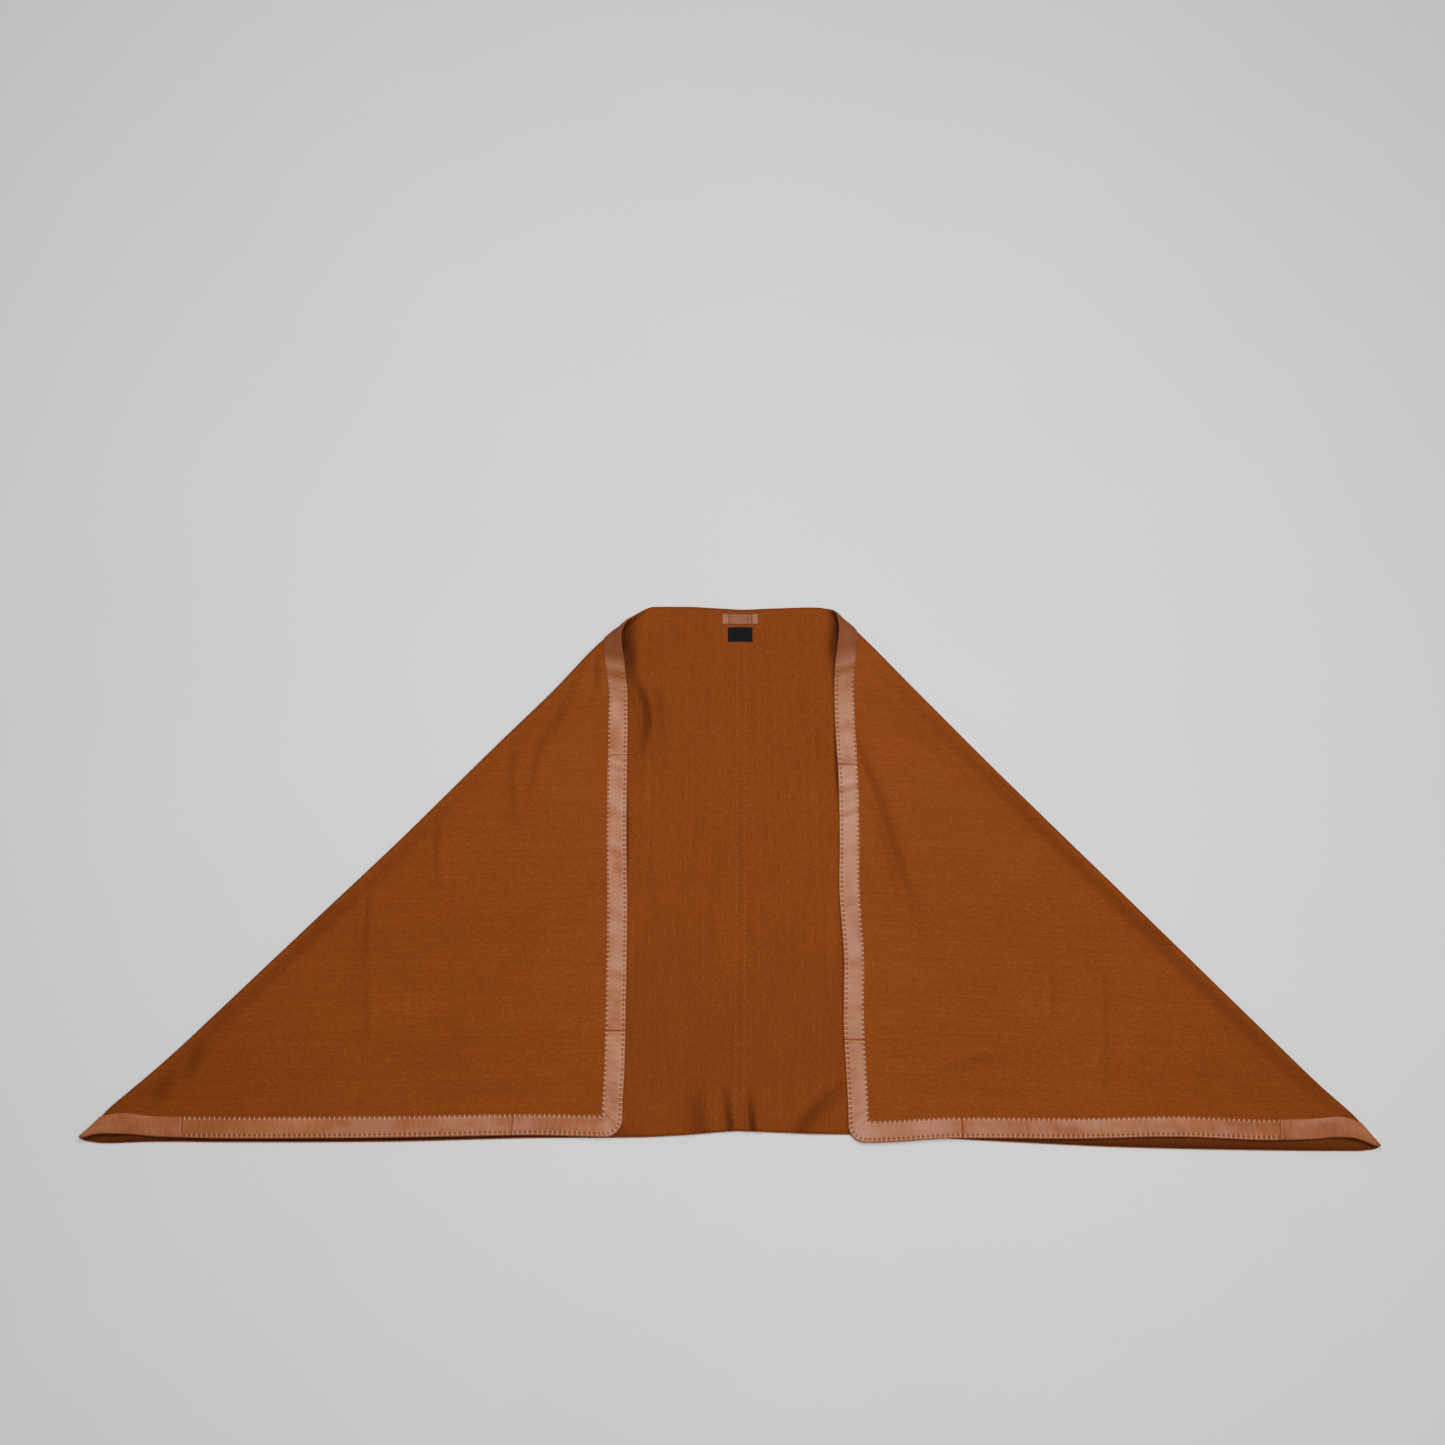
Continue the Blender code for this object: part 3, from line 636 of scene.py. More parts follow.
class Half:
    """One half of the poncho: its flat cut, and where each point of it lies."""

    def __init__(self, side):
        self.side = side
        self.sign = -1.0 if side == "left" else 1.0
        for name, point in CORNERS[side].items():
            setattr(self, name, np.array(point))
        self.wide = np.linalg.norm(self.tip - self.seam_foot)
        self.high = np.linalg.norm(self.seam_top - self.seam_foot)
        self.neck_at = np.linalg.norm(self.neck - self.seam_top)
        self.length = np.linalg.norm(self.tip - self.neck)
        self.run = unit(self.tip - self.neck)
        self.out = np.array([-self.run[1], self.run[0]])
        self.corner = self.unfolded(self.front_foot)
        self.trace_edge()
        self.bands = self.band_ends()

    def seed(self, kind):
        """Seed of this half's random draws for one kind of piece."""
        return SEEDS[kind][0 if self.side == "left" else 1]

    def unfolded(self, point):
        """Points of the front turned over the fold line, from plan to cut or back."""
        return point - 2 * np.multiply.outer((point - self.neck) @ self.out, self.out)

    def off_neck(self, plan):
        """How far each plan point is below the neck edge."""
        return -off_line(plan, self.seam_top, self.neck)

    def off_hem(self, plan):
        """How far each plan point is above the back hem."""
        return off_line(plan, self.seam_foot, self.tip)

    def rise(self, plan):
        """How far the leather under the back's edges holds the cloth up."""
        near = np.minimum(np.abs(self.off_neck(plan)), np.abs(self.off_hem(plan)))
        return RISE * (1.0 - np.clip((near - RISE_START) / (RISE_END - RISE_START), 0, 1))

    def creases(self, plan, layer):
        """Height of one layer's creases at each plan point, and their painted shade."""
        height = np.zeros(len(plan))
        shade = np.zeros(len(plan))
        for crease in rows_of(CREASES[self.side, layer]):
            line = bent_line(crease["start"], crease["bend"], crease["end"])
            low = line.min(axis=0) - crease["half_width"]
            high = line.max(axis=0) + crease["half_width"]
            near = np.all((plan > low) & (plan < high), axis=1)
            off, share = to_line(plan[near], line)
            peak = np.sin(np.pi * (BLUNT + (1.0 - 2 * BLUNT) * share)) ** FULLNESS
            width = crease["half_width"] * (NARROW + (1.0 - NARROW) * peak)
            form = hump(off / width)
            dark_half = crease["half_width"]
            if crease["valley"]:
                form *= 1.0 - VALLEY_DEPTH * hump(off / crease["valley"])
                dark_half = crease["valley"] * VALLEY_DARK
            height[near] = np.maximum(height[near], crease["height"] * peak * form)
            dark = crease["dark"] * peak * hump(off / dark_half)
            shade[near] = np.maximum(shade[near], dark)
        seam = smooth((plan[:, 0] - self.seam_foot[0] - OFF_SEAM) / SEAM_EASE)
        return height * seam, shade * seam

    def lift(self, plan):
        """How far the front edge stands up at each plan point near it."""
        near = 1.0 - smooth((plan[:, 0] - self.neck[0]) / LIFT_REACH)
        return near * sum(
            row["lift"] * hump((plan[:, 1] - row["height"]) / row["half_length"])
            for row in rows_of(EDGE_LIFT[self.side])
        )

    def slack(self, plan):
        """Small unevenness of the front, more along its bound edges."""
        broad, fine = (uneven(plan, *each) for each in FRONT_UNEVEN)
        edge = 1.0 - smooth((plan[:, 0] - self.neck[0]) / BOUND_REACH)
        hem = 1.0 - smooth((plan[:, 1] - self.front_foot[1]) / BOUND_REACH)
        waver = uneven(plan, *FRONT_WAVER)
        return broad + fine + waver * np.maximum(edge, hem)

    def back_slack(self, plan):
        """Small unevenness of the back panel between the fronts."""
        open_part = 1.0 - smooth((plan[:, 0] - self.neck[0]) / OPEN_FADE + 1.0)
        broad, fine = (uneven(plan, *each) for each in BACK_UNEVEN)
        return (broad + fine) * open_part

    def pulled(self, plan, front):
        """Plan points moved by their layer's pulls; front is 1 on the front, else 0."""
        x, y = plan.T
        at_edge = 1.0 - smooth((x - self.neck[0]) / EDGE_REACH)
        at_front_hem = 1.0 - smooth((y - self.front_foot[1]) / HEM_REACH)
        at_back_hem = 1.0 - smooth(self.off_hem(plan) / HEM_REACH)
        at_neck = 1.0 - smooth(self.off_neck(plan) / HEM_REACH)
        out = read(EDGE_SWAY[self.side], y, "out") * at_edge * front
        up_front = read(FRONT_HEM[self.side], x, "up") * at_front_hem
        up_back = read(BACK_HEM[self.side], x, "up") * at_back_hem
        up_neck = read(NECK_WAVE[self.side], x, "up") * at_neck
        return x + out, y + up_front * front + (up_back + up_neck) * (1.0 - front)

    def off_fold(self, cut):
        """How far cut points are along the fold and to its front, and their share."""
        s = (cut - self.neck) @ self.run
        return s, (cut - self.neck) @ self.out, s / self.length

    def trough(self, d, half_turn, share):
        """Depth of the trough beside the roll."""
        beside = hump((d - half_turn - TROUGH_AT) / TROUGH_HALF)
        return read(FOLD[self.side], share, "trough") * beside

    def middle(self, cut):
        """Where points of the cut lie, on the middle of the cloth."""
        fold = FOLD[self.side]
        s, d, share = self.off_fold(cut)
        radius = read(fold, share, "radius")
        half_turn = np.pi * radius / 2
        turn = np.clip((d + half_turn) / radius, 0.0, np.pi)
        rolled = radius * np.sin(turn) - half_turn
        across = np.where(d < -half_turn, d, np.where(d < half_turn, rolled, -d))
        down = 2 * radius - CLOTH - LAYER_GAP
        lowered = 2 * radius - down * smooth((d - half_turn) / read(fold, share, "slope"))
        lowered -= self.trough(d, half_turn, share)
        height = np.where(d < half_turn, radius * (1.0 - np.cos(turn)), lowered)
        across -= read(fold, share, "bow") * (1.0 - smooth(np.abs(d) / BOW_REACH))
        slip = NECK_SLIP[self.side] * (1.0 - smooth(share / SLIP_SHARE))
        s = s + slip * hump(d / np.where(d > 0.0, SLIP_FRONT, SLIP_BACK))
        plan = self.neck + self.run * s[:, None] + self.out * across[:, None]
        front = smooth((d + LAYER_REACH) / (2 * LAYER_REACH))
        over = smooth((d - half_turn) / LAYER_REACH)
        under = 1.0 - smooth((d + half_turn + LAYER_REACH) / LAYER_REACH)
        height += CLOTH / 2 + self.rise(plan)
        height += (self.creases(plan, "front")[0] + self.lift(plan)) * over
        height += self.slack(plan) * over
        height += (self.creases(plan, "back")[0] + self.back_slack(plan)) * under
        x, y = self.pulled(plan, front)
        return np.column_stack([x, y, height])

    def shade(self, cut):
        """How much painted shade each point of the cut gets from its creases and trough.
        """
        d, share = self.off_fold(cut)[1:]
        half_turn = np.pi * read(FOLD[self.side], share, "radius") / 2
        plan = np.where(d[:, None] > 0.0, self.unfolded(cut), cut)
        front, back = (self.creases(plan, layer)[1] for layer in ("front", "back"))
        layer = np.where(d > 0.0, front, back)
        return np.maximum(layer, TROUGH_DARK * self.trough(d, half_turn, share))

    def facing(self, cut):
        """Direction that the cloth's outer side faces at points of the cut."""
        along = np.array([NEARBY, 0.0])
        up = np.array([0.0, NEARBY])
        across = self.middle(cut + along) - self.middle(cut - along)
        upward = self.middle(cut + up) - self.middle(cut - up)
        return unit(np.cross(upward, across))

    def lay(self, cut, outward):
        """Where points of the cut lie, moved out from the cloth's middle."""
        return self.middle(cut) + self.facing(cut) * np.reshape(outward, (-1, 1))

    def placed(self, points):
        """Points of this half in the shared frame, mirrored for the half on the left."""
        points = np.array(points)
        points[:, 0] = self.sign * points[:, 0] - MIDDLE[0]
        points[:, 1] -= MIDDLE[1]
        return points

    def trace_edge(self):
        """Traces the bound edge and the binding's inner edge, from seam to seam."""
        corners = [self.seam_top, self.neck, self.corner, self.tip, self.seam_foot]
        radii = [0.0, 0.0, FRONT_CORNER_RADIUS, TIP_CORNER_RADIUS, 0.0]
        runs = [unit(b - a) for a, b in zip(corners, corners[1:])]
        ins = [np.array([run[1], -run[0]]) for run in runs]
        outer = [corners[0]]
        inner = [corners[0] + ins[0] * BAND]
        for k in (1, 2, 3):
            point, before, after = corners[k], runs[k - 1], runs[k]
            mitre = point + (ins[k - 1] + ins[k]) * BAND / (1.0 + ins[k - 1] @ ins[k])
            zone = CORNER_ZONE if radii[k] else NECK_ZONE
            rounding = rounded_corner(point, before, after, radii[k], zone)
            t = shares_along(rounding)
            start = point - before * zone + ins[k - 1] * BAND
            end = point + after * zone + ins[k] * BAND
            outer += list(rounding)
            inner += list(point_along(np.array([start, mitre, end]), t))
        outer.append(corners[4])
        inner.append(corners[4] + ins[3] * BAND)
        self.outer = np.array(outer)
        self.inner = np.array(inner)
        steps = np.linalg.norm(np.diff(self.outer, axis=0), axis=1)
        self.distance = np.concatenate([[0.0], np.cumsum(steps)])
        self.edge_length = self.distance[-1]
        steps = np.linalg.norm(np.diff(self.inner, axis=0), axis=1)
        self.inner_distance = np.concatenate([[0.0], np.cumsum(steps)])

    def on_edge(self, along, across):
        """Points of the cut along the bound edge, and in from it."""
        out = [np.interp(along, self.distance, self.outer[:, k]) for k in (0, 1)]
        into = [np.interp(along, self.distance, self.inner[:, k]) for k in (0, 1)]
        out, into = np.column_stack(out), np.column_stack(into)
        return out + (into - out) * np.reshape(across / BAND, (-1, 1))

    def row_length(self, along, across):
        """How far a row of stitches has gone at points of the binding."""
        inner = np.interp(along, self.distance, self.inner_distance)
        return np.where(across > BAND / 2, inner, along)

    def along_row(self, far, row):
        """Where along the bound edge a row of stitches has gone that far."""
        if row > BAND / 2:
            return np.interp(far, self.inner_distance, self.distance)
        return far

    def nearest_on_edge(self, point):
        """How far along the bound edge it comes nearest to a point."""
        along = np.arange(0.0, self.edge_length, 0.0005)
        away = np.linalg.norm(self.on_edge(along, np.zeros(len(along))) - point, axis=1)
        return along[np.argmin(away)]

    def band_ends(self):
        """Distances along the edge where each leather piece starts and ends."""
        joints = JOINTS[self.side]
        marks = [
            (self.neck, self.corner, joints["shoulder"]),
            (self.neck, self.corner, joints["front"]),
            (self.corner, self.tip, joints["corner"]),
            (self.corner, self.tip, joints["hem"]),
            (self.tip, self.seam_foot, TIP_BAND),
        ]
        ends = [self.nearest_on_edge(a + unit(b - a) * far) for a, b, far in marks]
        ends = [0.0, *ends, self.edge_length]
        return dict(zip(BANDS, zip(ends, ends[1:])))


def rounded_corner(corner, before, after, radius, zone):
    """Points round a corner of the cut, from a zone before it to a zone after it."""
    if not radius:
        return np.array([corner - before * zone, corner, corner + after * zone])
    swing = math.acos(np.clip(before @ after, -1, 1))
    reach = radius * math.tan(swing / 2)
    into = np.array([before[1], -before[0]])
    centre = corner - before * reach + into * radius
    turns = np.linspace(0.0, swing, 13)[:, None]
    arc = centre - into * radius * np.cos(turns) + before * radius * np.sin(turns)
    return np.vstack([corner - before * zone, arc, corner + after * zone])


def shares_along(line):
    """Each point's share of a line's length."""
    steps = np.linalg.norm(np.diff(line, axis=0), axis=1)
    return np.concatenate([[0.0], np.cumsum(steps)]) / steps.sum()


def point_along(line, share):
    """Points at some shares of a line's length."""
    at = shares_along(line)
    past = np.minimum(share, 0.0)[:, None] * (line[1] - line[0]) / at[1]
    return np.column_stack([np.interp(share, at, line[:, k]) for k in (0, 1)]) + past


def add_piece(name, points, faces, material, slot, node=None, **attributes):
    """One named object from points and faces, which may stand for a node of the frame."""
    mesh = bpy.data.meshes.new(name)
    mesh.from_pydata(points.tolist(), [], faces)
    for key, values in attributes.items():
        layer = mesh.attributes.new(key, "FLOAT_VECTOR", "POINT")
        layer.data.foreach_set("vector", np.asarray(values, dtype=np.float32).ravel())
    mesh.shade_smooth()
    mesh.materials.append(material)
    piece = bpy.data.objects.new(name, mesh)
    bpy.context.collection.objects.link(piece)
    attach(piece, "root")
    if node:
        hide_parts(node)
    return piece


def add_half_piece(
    half, name, points, faces, material, slot, lowest, node=None, **attributes
):
    """A piece of one half, mirrored with it and kept above the floor."""
    points = half.placed(points)
    points[:, 2] = np.maximum(points[:, 2], lowest)
    if half.side == "right":
        faces = [face[::-1] for face in faces]
    node = f"{node}_{half.side}" if node else None
    name = f"{name}_{half.side}"
    return add_piece(name, points, faces, material, slot, node, **attributes)


def grid(rows, columns, first=0, closed=False):
    """Faces of a grid of points numbered row by row, closed round its rows if asked."""
    i, j = np.meshgrid(
        np.arange(rows - 1), np.arange(columns if closed else columns - 1), indexing="ij"
    )
    a = first + i * columns + j
    b = first + i * columns + (j + 1) % columns
    return np.stack([a, b, b + columns, a + columns], axis=-1).reshape(-1, 4)


def rim_of(rows, columns):
    """Numbers of a grid's outer points, in order round it."""
    return np.concatenate(
        [
            np.arange(columns),
            columns - 1 + columns * np.arange(1, rows),
            rows * columns - 2 - np.arange(columns - 1),
            columns * np.arange(rows - 2, 0, -1),
        ]
    )


def split(quads):
    """Each quad as two triangles that meet along the direction of the shoulder fold."""
    return np.concatenate([quads[:, [0, 1, 3]], quads[:, [1, 2, 3]]])


def seam_allowance(cut, half):
    """How much the allowance sewn down beside the centre back seam thickens the cloth."""
    at = (cut[:, 1] - half.seam_foot[1]) / (half.seam_top[1] - half.seam_foot[1])
    off = cut[:, 0] - half.seam_foot[0] - at * (half.seam_top[0] - half.seam_foot[0])
    sunk = hump((off - SEAM_ROW) / ROW_GROOVE_HALF) * ROW_GROOVE
    faded = smooth((off - SEAM_ROW - ALLOWANCE_EDGE) / ALLOWANCE_FADE)
    return ALLOWANCE * (1.0 - faded) - sunk


def cloth_cut(half):
    """Grid of points over one half's cut, round at its front and tip corners."""
    top = np.array([half.seam_top, half.neck, half.corner])
    wide = half.wide
    upward = round(half.high / ROW_STEP)
    open_part = np.arange(OPEN_START, OPEN_WIDTH, OPEN_STEP)
    count = round((wide - OPEN_WIDTH) / CLOTH_STEP)
    rest = np.linspace(OPEN_WIDTH, wide, count + 1)
    shares = np.concatenate([[-HALF_JOINT], NEAR_SEAM, open_part, rest]) / wide
    high = point_along(top, shares)
    low = half.seam_foot + (half.tip - half.seam_foot) * shares[:, None]
    t = np.linspace(0.0, 1.0, upward + 1)
    points = low[None] + (high - low)[None] * t[:, None, None]
    for corner, radius, a, b in (
        (half.corner, FRONT_CORNER_RADIUS, half.neck, half.tip),
        (half.tip, TIP_CORNER_RADIUS, half.corner, half.seam_foot),
    ):
        one, two = unit(a - corner), unit(b - corner)
        points = with_round_corner(points, corner, one, two, radius)
    return points


def with_round_corner(points, corner, one, two, radius):
    """Points of the cut, with those near a corner drawn in to a round one."""
    basis = np.linalg.inv(np.column_stack([one, two]))
    inward = (points - corner) @ basis.T
    near = np.all(inward < radius, axis=-1)
    back = np.clip(1.0 - inward / radius, 0.0, 1.0)
    length = np.hypot(back[..., 0], back[..., 1])
    squeeze = back.max(axis=-1) / np.where(length > 0, length, 1.0)
    round_in = (1.0 - back * squeeze[..., None]) * radius
    placed = corner + round_in @ np.column_stack([one, two]).T
    return np.where(near[..., None], placed, points)


def add_cloth(half, material):
    """The cloth of one half: a thin shell with both its sides and its edge."""
    points = cloth_cut(half)
    rows, columns = points.shape[:2]
    cut = points.reshape(-1, 2)
    count = len(cut)
    middle = half.middle(cut)
    facing = half.facing(cut)
    inner_side = CLOTH / 2 + seam_allowance(cut, half)
    ring = rim_of(rows, columns)
    away = unit(cut[ring] - cut.mean(axis=0))
    rim = half.middle(cut[ring] + away * ROUND_EDGE)
    solid = np.vstack(
        [middle + facing * CLOTH / 2, middle - facing * inner_side[:, None], rim]
    )
    faces = split(grid(rows, columns)).tolist()
    faces += split(grid(rows, columns, count))[:, ::-1].tolist()
    edge = 2 * count
    for n, a in enumerate(ring):
        m = (n + 1) % len(ring)
        b = ring[m]
        faces.append([int(b), int(a), edge + n, edge + m])
        faces.append([edge + m, edge + n, int(a) + count, int(b) + count])
    on_cut = np.vstack([cut, cut, cut[ring]])
    side = np.concatenate([np.ones(count), -np.ones(count), np.zeros(len(ring))])
    # Painted shade for the cloth's colour: its slope, for darker steep parts, and the
    # shade of its creases, shadow strips and trough, on the side that faces up
    slope = 1.0 - np.abs(facing[:, 2])
    dark = half.shade(cut)
    turned = half.off_fold(cut)[1] > 0.0
    outer = np.column_stack([np.where(turned, dark, 0.0), slope, np.zeros(count)])
    inner = np.column_stack([np.where(turned, 0.0, dark), slope, np.zeros(count)])
    return add_half_piece(
        half, "wool", solid, faces, material, "wool", 0.0, "cloth",
        cut=np.column_stack([on_cut, side * SIDE]),
        shade=np.vstack([outer, inner, outer[ring]]),
    )


def over_shoulder(half, along, middle, flat, fade):
    """1 on the binding's stretch over the shoulder, which fades to 0 past its ends."""
    off = np.abs(along - half.neck_at - middle)
    return hump(np.maximum(off - flat, 0.0) / fade)


def pull(half, along):
    """How hard stitches pull the leather in, less over the shoulder and at the tip."""
    start = half.bands["tip_band"][0]
    shoulder = over_shoulder(half, along, *LOOSE)
    tip = smooth((along - start + TIP_EASE / 2) / TIP_EASE)
    back = smooth((along - start - TIP_LOOSE) / TIP_FADE)
    return 1.0 - LOOSENESS * np.maximum(shoulder, tip * (1.0 - back))


def shoulder_and_hem_shade(half, along):
    """Painted shade on the leather where it bends over the shoulder, and at the hem."""
    shoulder = SHOULDER_DARK[half.side] * over_shoulder(half, along, *DARK)
    corner = half.neck_at + np.linalg.norm(half.corner - half.neck)
    return np.maximum(shoulder, HEM_DARK * smooth((along - corner) / HEM_DARK_FADE))


def bends(half, along, across):
    """Share of the valley, and of the sides, of the bends across the front edge."""
    below_neck = along + SLANT * across - half.neck_at
    valley = np.zeros(len(along))
    sides = np.zeros(len(along))
    for bend in rows_of(BENDS[half.side]):
        off = (below_neck - bend["below"]) / bend["half_length"]
        valley = np.maximum(valley, bend["depth"] * hump(off))
        sides = np.maximum(sides, bend["depth"] * hump(off / BEND_SIDES))
    return valley, np.maximum(sides - valley, 0.0)


def relief(half, along, across, start, end):
    """Height of the leather's puckers, wrinkles and ends over its plain section."""
    seed = half.seed("leather")
    far = half.row_length(along, across)
    from_stitch = np.abs((far / STITCH + 0.5) % 1.0 - 0.5) * STITCH
    ridge = 1.0 - smooth((STITCH / 2 - from_stitch) / RIDGE_EASE)
    varied = np.clip(wander(along, PULL_WAVE, seed), -1.0, 1.0)
    tight = 1.0 - PULL_VARIES + PULL_VARIES * varied
    tight *= pull(half, along)
    inner = hump(np.minimum(across - INNER_ROW, 0.0) / INNER_PUCKER_HALF)
    outer = hump((across - OUTER_ROW) / OUTER_PUCKER_HALF)
    height = -PUCKER * tight * (1.0 - ridge) * np.maximum(inner, outer)
    reach = np.maximum(
        hump((across - INNER_ROW) / RIDGE_REACH), hump((across - OUTER_ROW) / RIDGE_REACH)
    )
    height += RIDGE * tight * ridge * reach
    slanted = along + SLANT * across
    height += FINE_WRINKLE * wander(slanted, FINE_WAVE, seed + 1) * (1.0 - 0.5 * reach)
    height += BROAD_WRINKLE * wander(slanted + 0.4 * across, BROAD_WAVE, seed + 2)
    height += BEND * bends(half, along, across)[1] * (1.0 - 0.6 * reach)
    chance = np.random.default_rng(seed + 3)
    long_half, wide_half = TUCK_HALF_SIZES
    for at in chance.uniform(0.0, half.edge_length, TUCKS):
        row = chance.choice([INNER_ROW - TUCK_OFF_ROW, OUTER_ROW + TUCK_OFF_ROW])
        tall = chance.uniform(*TUCK_HEIGHTS)
        height += tall * hump((along - at) / long_half) * hump((across - row) / wide_half)
    from_end = np.minimum(along - start, end - along)
    height += TURNED_END * hump((along - start - TURN_AT) / TURN_HALF)
    return height - END_DROP * (1.0 - smooth(from_end / END_REACH))


def top_of_leather(half, along, across, start, end, share=1.0):
    """Height of the leather over the cloth's middle, calmer where it faces down."""
    face = column(BAND_SECTION, "relief") > FACE
    plain = np.interp(
        across, column(BAND_SECTION, "across")[face], column(BAND_SECTION, "height")[face]
    )
    facing = half.facing(half.on_edge(along, across))[:, 2]
    calm = CALMEST + (1.0 - CALMEST) * smooth(facing + 0.5)
    extra = relief(half, along, across, start, end) * share * calm
    return plain + np.where(facing < 0.0, np.minimum(extra, CALM_RISE), extra)


def add_band(half, name, material):
    """One leather piece of the binding, with its edge turned over the cloth's."""
    start, end = half.bands[name]
    low, high = start + (HALF_JOINT if start else 0.0), end - HALF_JOINT
    count = round((high - low) / LEATHER_STEP)
    ends = np.array(END_POINTS)
    along = np.linspace(low + EVEN_START, high - EVEN_START, count)
    along = np.concatenate([low + ends, along, high - ends[::-1]])
    width = len(BAND_SECTION) - 1
    a = np.repeat(along, width)
    w, plain, takes = (
        np.tile(column(BAND_SECTION, key), len(along)) for key in BAND_SECTION[0]
    )
    face = top_of_leather(half, a, w, start, end, takes)
    points = half.lay(half.on_edge(a, w), np.where(takes > FACE, face, plain))
    faces = grid(len(along), width, closed=True)[:, ::-1].tolist()
    last = (len(along) - 1) * width
    faces.append(list(range(width)))
    faces.append([last + n for n in reversed(range(width))])
    order = BANDS.index(name) + (0 if half.side == "left" else 7)
    return add_half_piece(
        half, f"lambskin_{name}", points, faces, material, "binding", 2 * FLOOR_GAP, name,
        run=np.column_stack([a, w, np.full(len(a), order * SKIN_APART)]),
        # bend: shares of the bends' valley and sides, for painted shade and highlights;
        # pull: how hard the stitches pull, the share of painted shade, and how far along
        # the row
        bend=np.column_stack([*bends(half, a, w), np.zeros(len(a))]),
        pull=np.column_stack([pull(half, a), shoulder_and_hem_shade(half, a), half.row_length(a, w)]),
    )


def add_threads(half, name, paths, radius, sides, material, slot):
    """One half's threads of one kind, tubes along many short paths, as a joined piece."""
    count, rings = paths.shape[:2]
    ahead = unit(np.gradient(paths, axis=1))
    up = np.zeros_like(ahead)
    up[..., 2] = 1.0
    aside = np.cross(ahead, up)
    flat = np.linalg.norm(aside, axis=-1, keepdims=True)
    aside = np.where(flat > 1e-3, aside / np.maximum(flat, 1e-9), [1.0, 0.0, 0.0])
    above = np.cross(aside, ahead)
    turns = np.arange(sides) * 2 * np.pi / sides
    thin = np.sqrt(np.clip(1.0 - np.linspace(-0.92, 0.92, rings) ** 4, 0.2, 1.0))
    size = np.reshape(radius, (-1, 1, 1, 1)) * thin[None, :, None, None]
    round_it = (
        aside[:, :, None] * np.cos(turns)[None, None, :, None]
        + above[:, :, None] * np.sin(turns)[None, None, :, None]
    )
    points = (paths[:, :, None] + round_it * size).reshape(-1, 3)
    one = grid(rings, sides, closed=True)
    first = np.arange(count)[:, None, None] * rings * sides
    faces = (first + one[None]).reshape(-1, 4).tolist()
    for n in range(count):
        base = n * rings * sides
        faces.append([base + k for k in reversed(range(sides))])
        faces.append([base + (rings - 1) * sides + k for k in range(sides)])
    return add_half_piece(half, name, points, faces, material, slot, FLOOR_GAP)


def along_stitches(far, length, count):
    """How far each point of some stitches is along their row, and from its middle."""
    reach = np.linspace(-0.5, 0.5, count)
    return (far[:, None] + reach * length).ravel(), np.tile(reach, len(far))


def add_stitches(half, material):
    """The binding's two rows of stitches, each an arch that dips in at both ends."""
    chance = np.random.default_rng(half.seed("stitches"))
    paths = []
    for start, end in half.bands.values():
        for row in (INNER_ROW, OUTER_ROW):
            first, last = half.row_length(np.array([start, end]), row)
            first = math.ceil((first + JOINT_CLEAR) / STITCH)
            last = math.floor((last - JOINT_CLEAR) / STITCH)
            far = np.arange(first, last + 1) * STITCH
            at = far + chance.normal(0.0, STITCH_UNEVEN[0], len(far))
            across = row + chance.normal(0.0, STITCH_UNEVEN[1], len(far))
            at, reach = along_stitches(at, STITCH_LENGTH, STITCH_POINTS)
            a, w = half.along_row(at, row), np.repeat(across, STITCH_POINTS)
            lift = top_of_leather(half, a, w, start, end)
            lift -= LOOSE_SINK * (1.0 - pull(half, a))
            over = np.cos(reach * np.pi * 0.96) * STITCH_ARCH - STITCH_SINK
            paths.append(half.lay(half.on_edge(a, w), lift + over))
    paths = np.concatenate(paths).reshape(-1, STITCH_POINTS, 3)
    radius = THREAD * chance.uniform(0.85, 1.1, len(paths))
    return add_threads(half, "stitches", paths, radius, THREAD_SIDES, material, "binding")


def add_dashes(half, material):
    """The back of the binding's inner row, which shows on the cloth's inner side."""
    chance = np.random.default_rng(half.seed("dashes"))
    far = np.arange(1, math.floor(half.inner_distance[-1] / STITCH)) * STITCH
    far = far + chance.normal(0.0, DASH_UNEVEN[0], len(far))
    w = np.repeat(INNER_ROW + chance.normal(0.0, DASH_UNEVEN[1], len(far)), SMALL_POINTS)
    at, reach = along_stitches(far, DASH_LENGTH, SMALL_POINTS)
    sunk = DASH_SINK - np.cos(reach * np.pi) * DASH_ARCH
    on_edge = half.on_edge(half.along_row(at, INNER_ROW), w)
    paths = half.lay(on_edge, -CLOTH / 2 + sunk).reshape(-1, SMALL_POINTS, 3)
    return add_threads(half, "dashes", paths, DASH_THREAD, SMALL_SIDES, material, "wool")


def add_seam_stitches(half, material):
    """The row of short stitches that holds the centre back seam's allowance down."""
    chance = np.random.default_rng(half.seed("seam"))
    at = np.arange(SEAM_CLEAR, half.high - SEAM_CLEAR, SEAM_STITCH)
    at = at + chance.normal(0.0, SEAM_UNEVEN, len(at))
    at, reach = along_stitches(at, SEAM_STITCH_LENGTH, SMALL_POINTS)
    up = unit(half.seam_top - half.seam_foot)
    cut = half.seam_foot + up * at[:, None] + np.array([SEAM_ROW, 0.0])
    over = SEAM_ARCH * np.cos(reach * np.pi) - SEAM_SINK
    inner = half.lay(cut, -(CLOTH / 2 + seam_allowance(cut, half) + over))
    outer = half.lay(cut, CLOTH / 2 + over)
    paths = np.concatenate([inner, outer]).reshape(-1, SMALL_POINTS, 3)
    return add_threads(
        half, "seam_stitches", paths, SEAM_THREAD, SMALL_SIDES, material, "wool"
    )


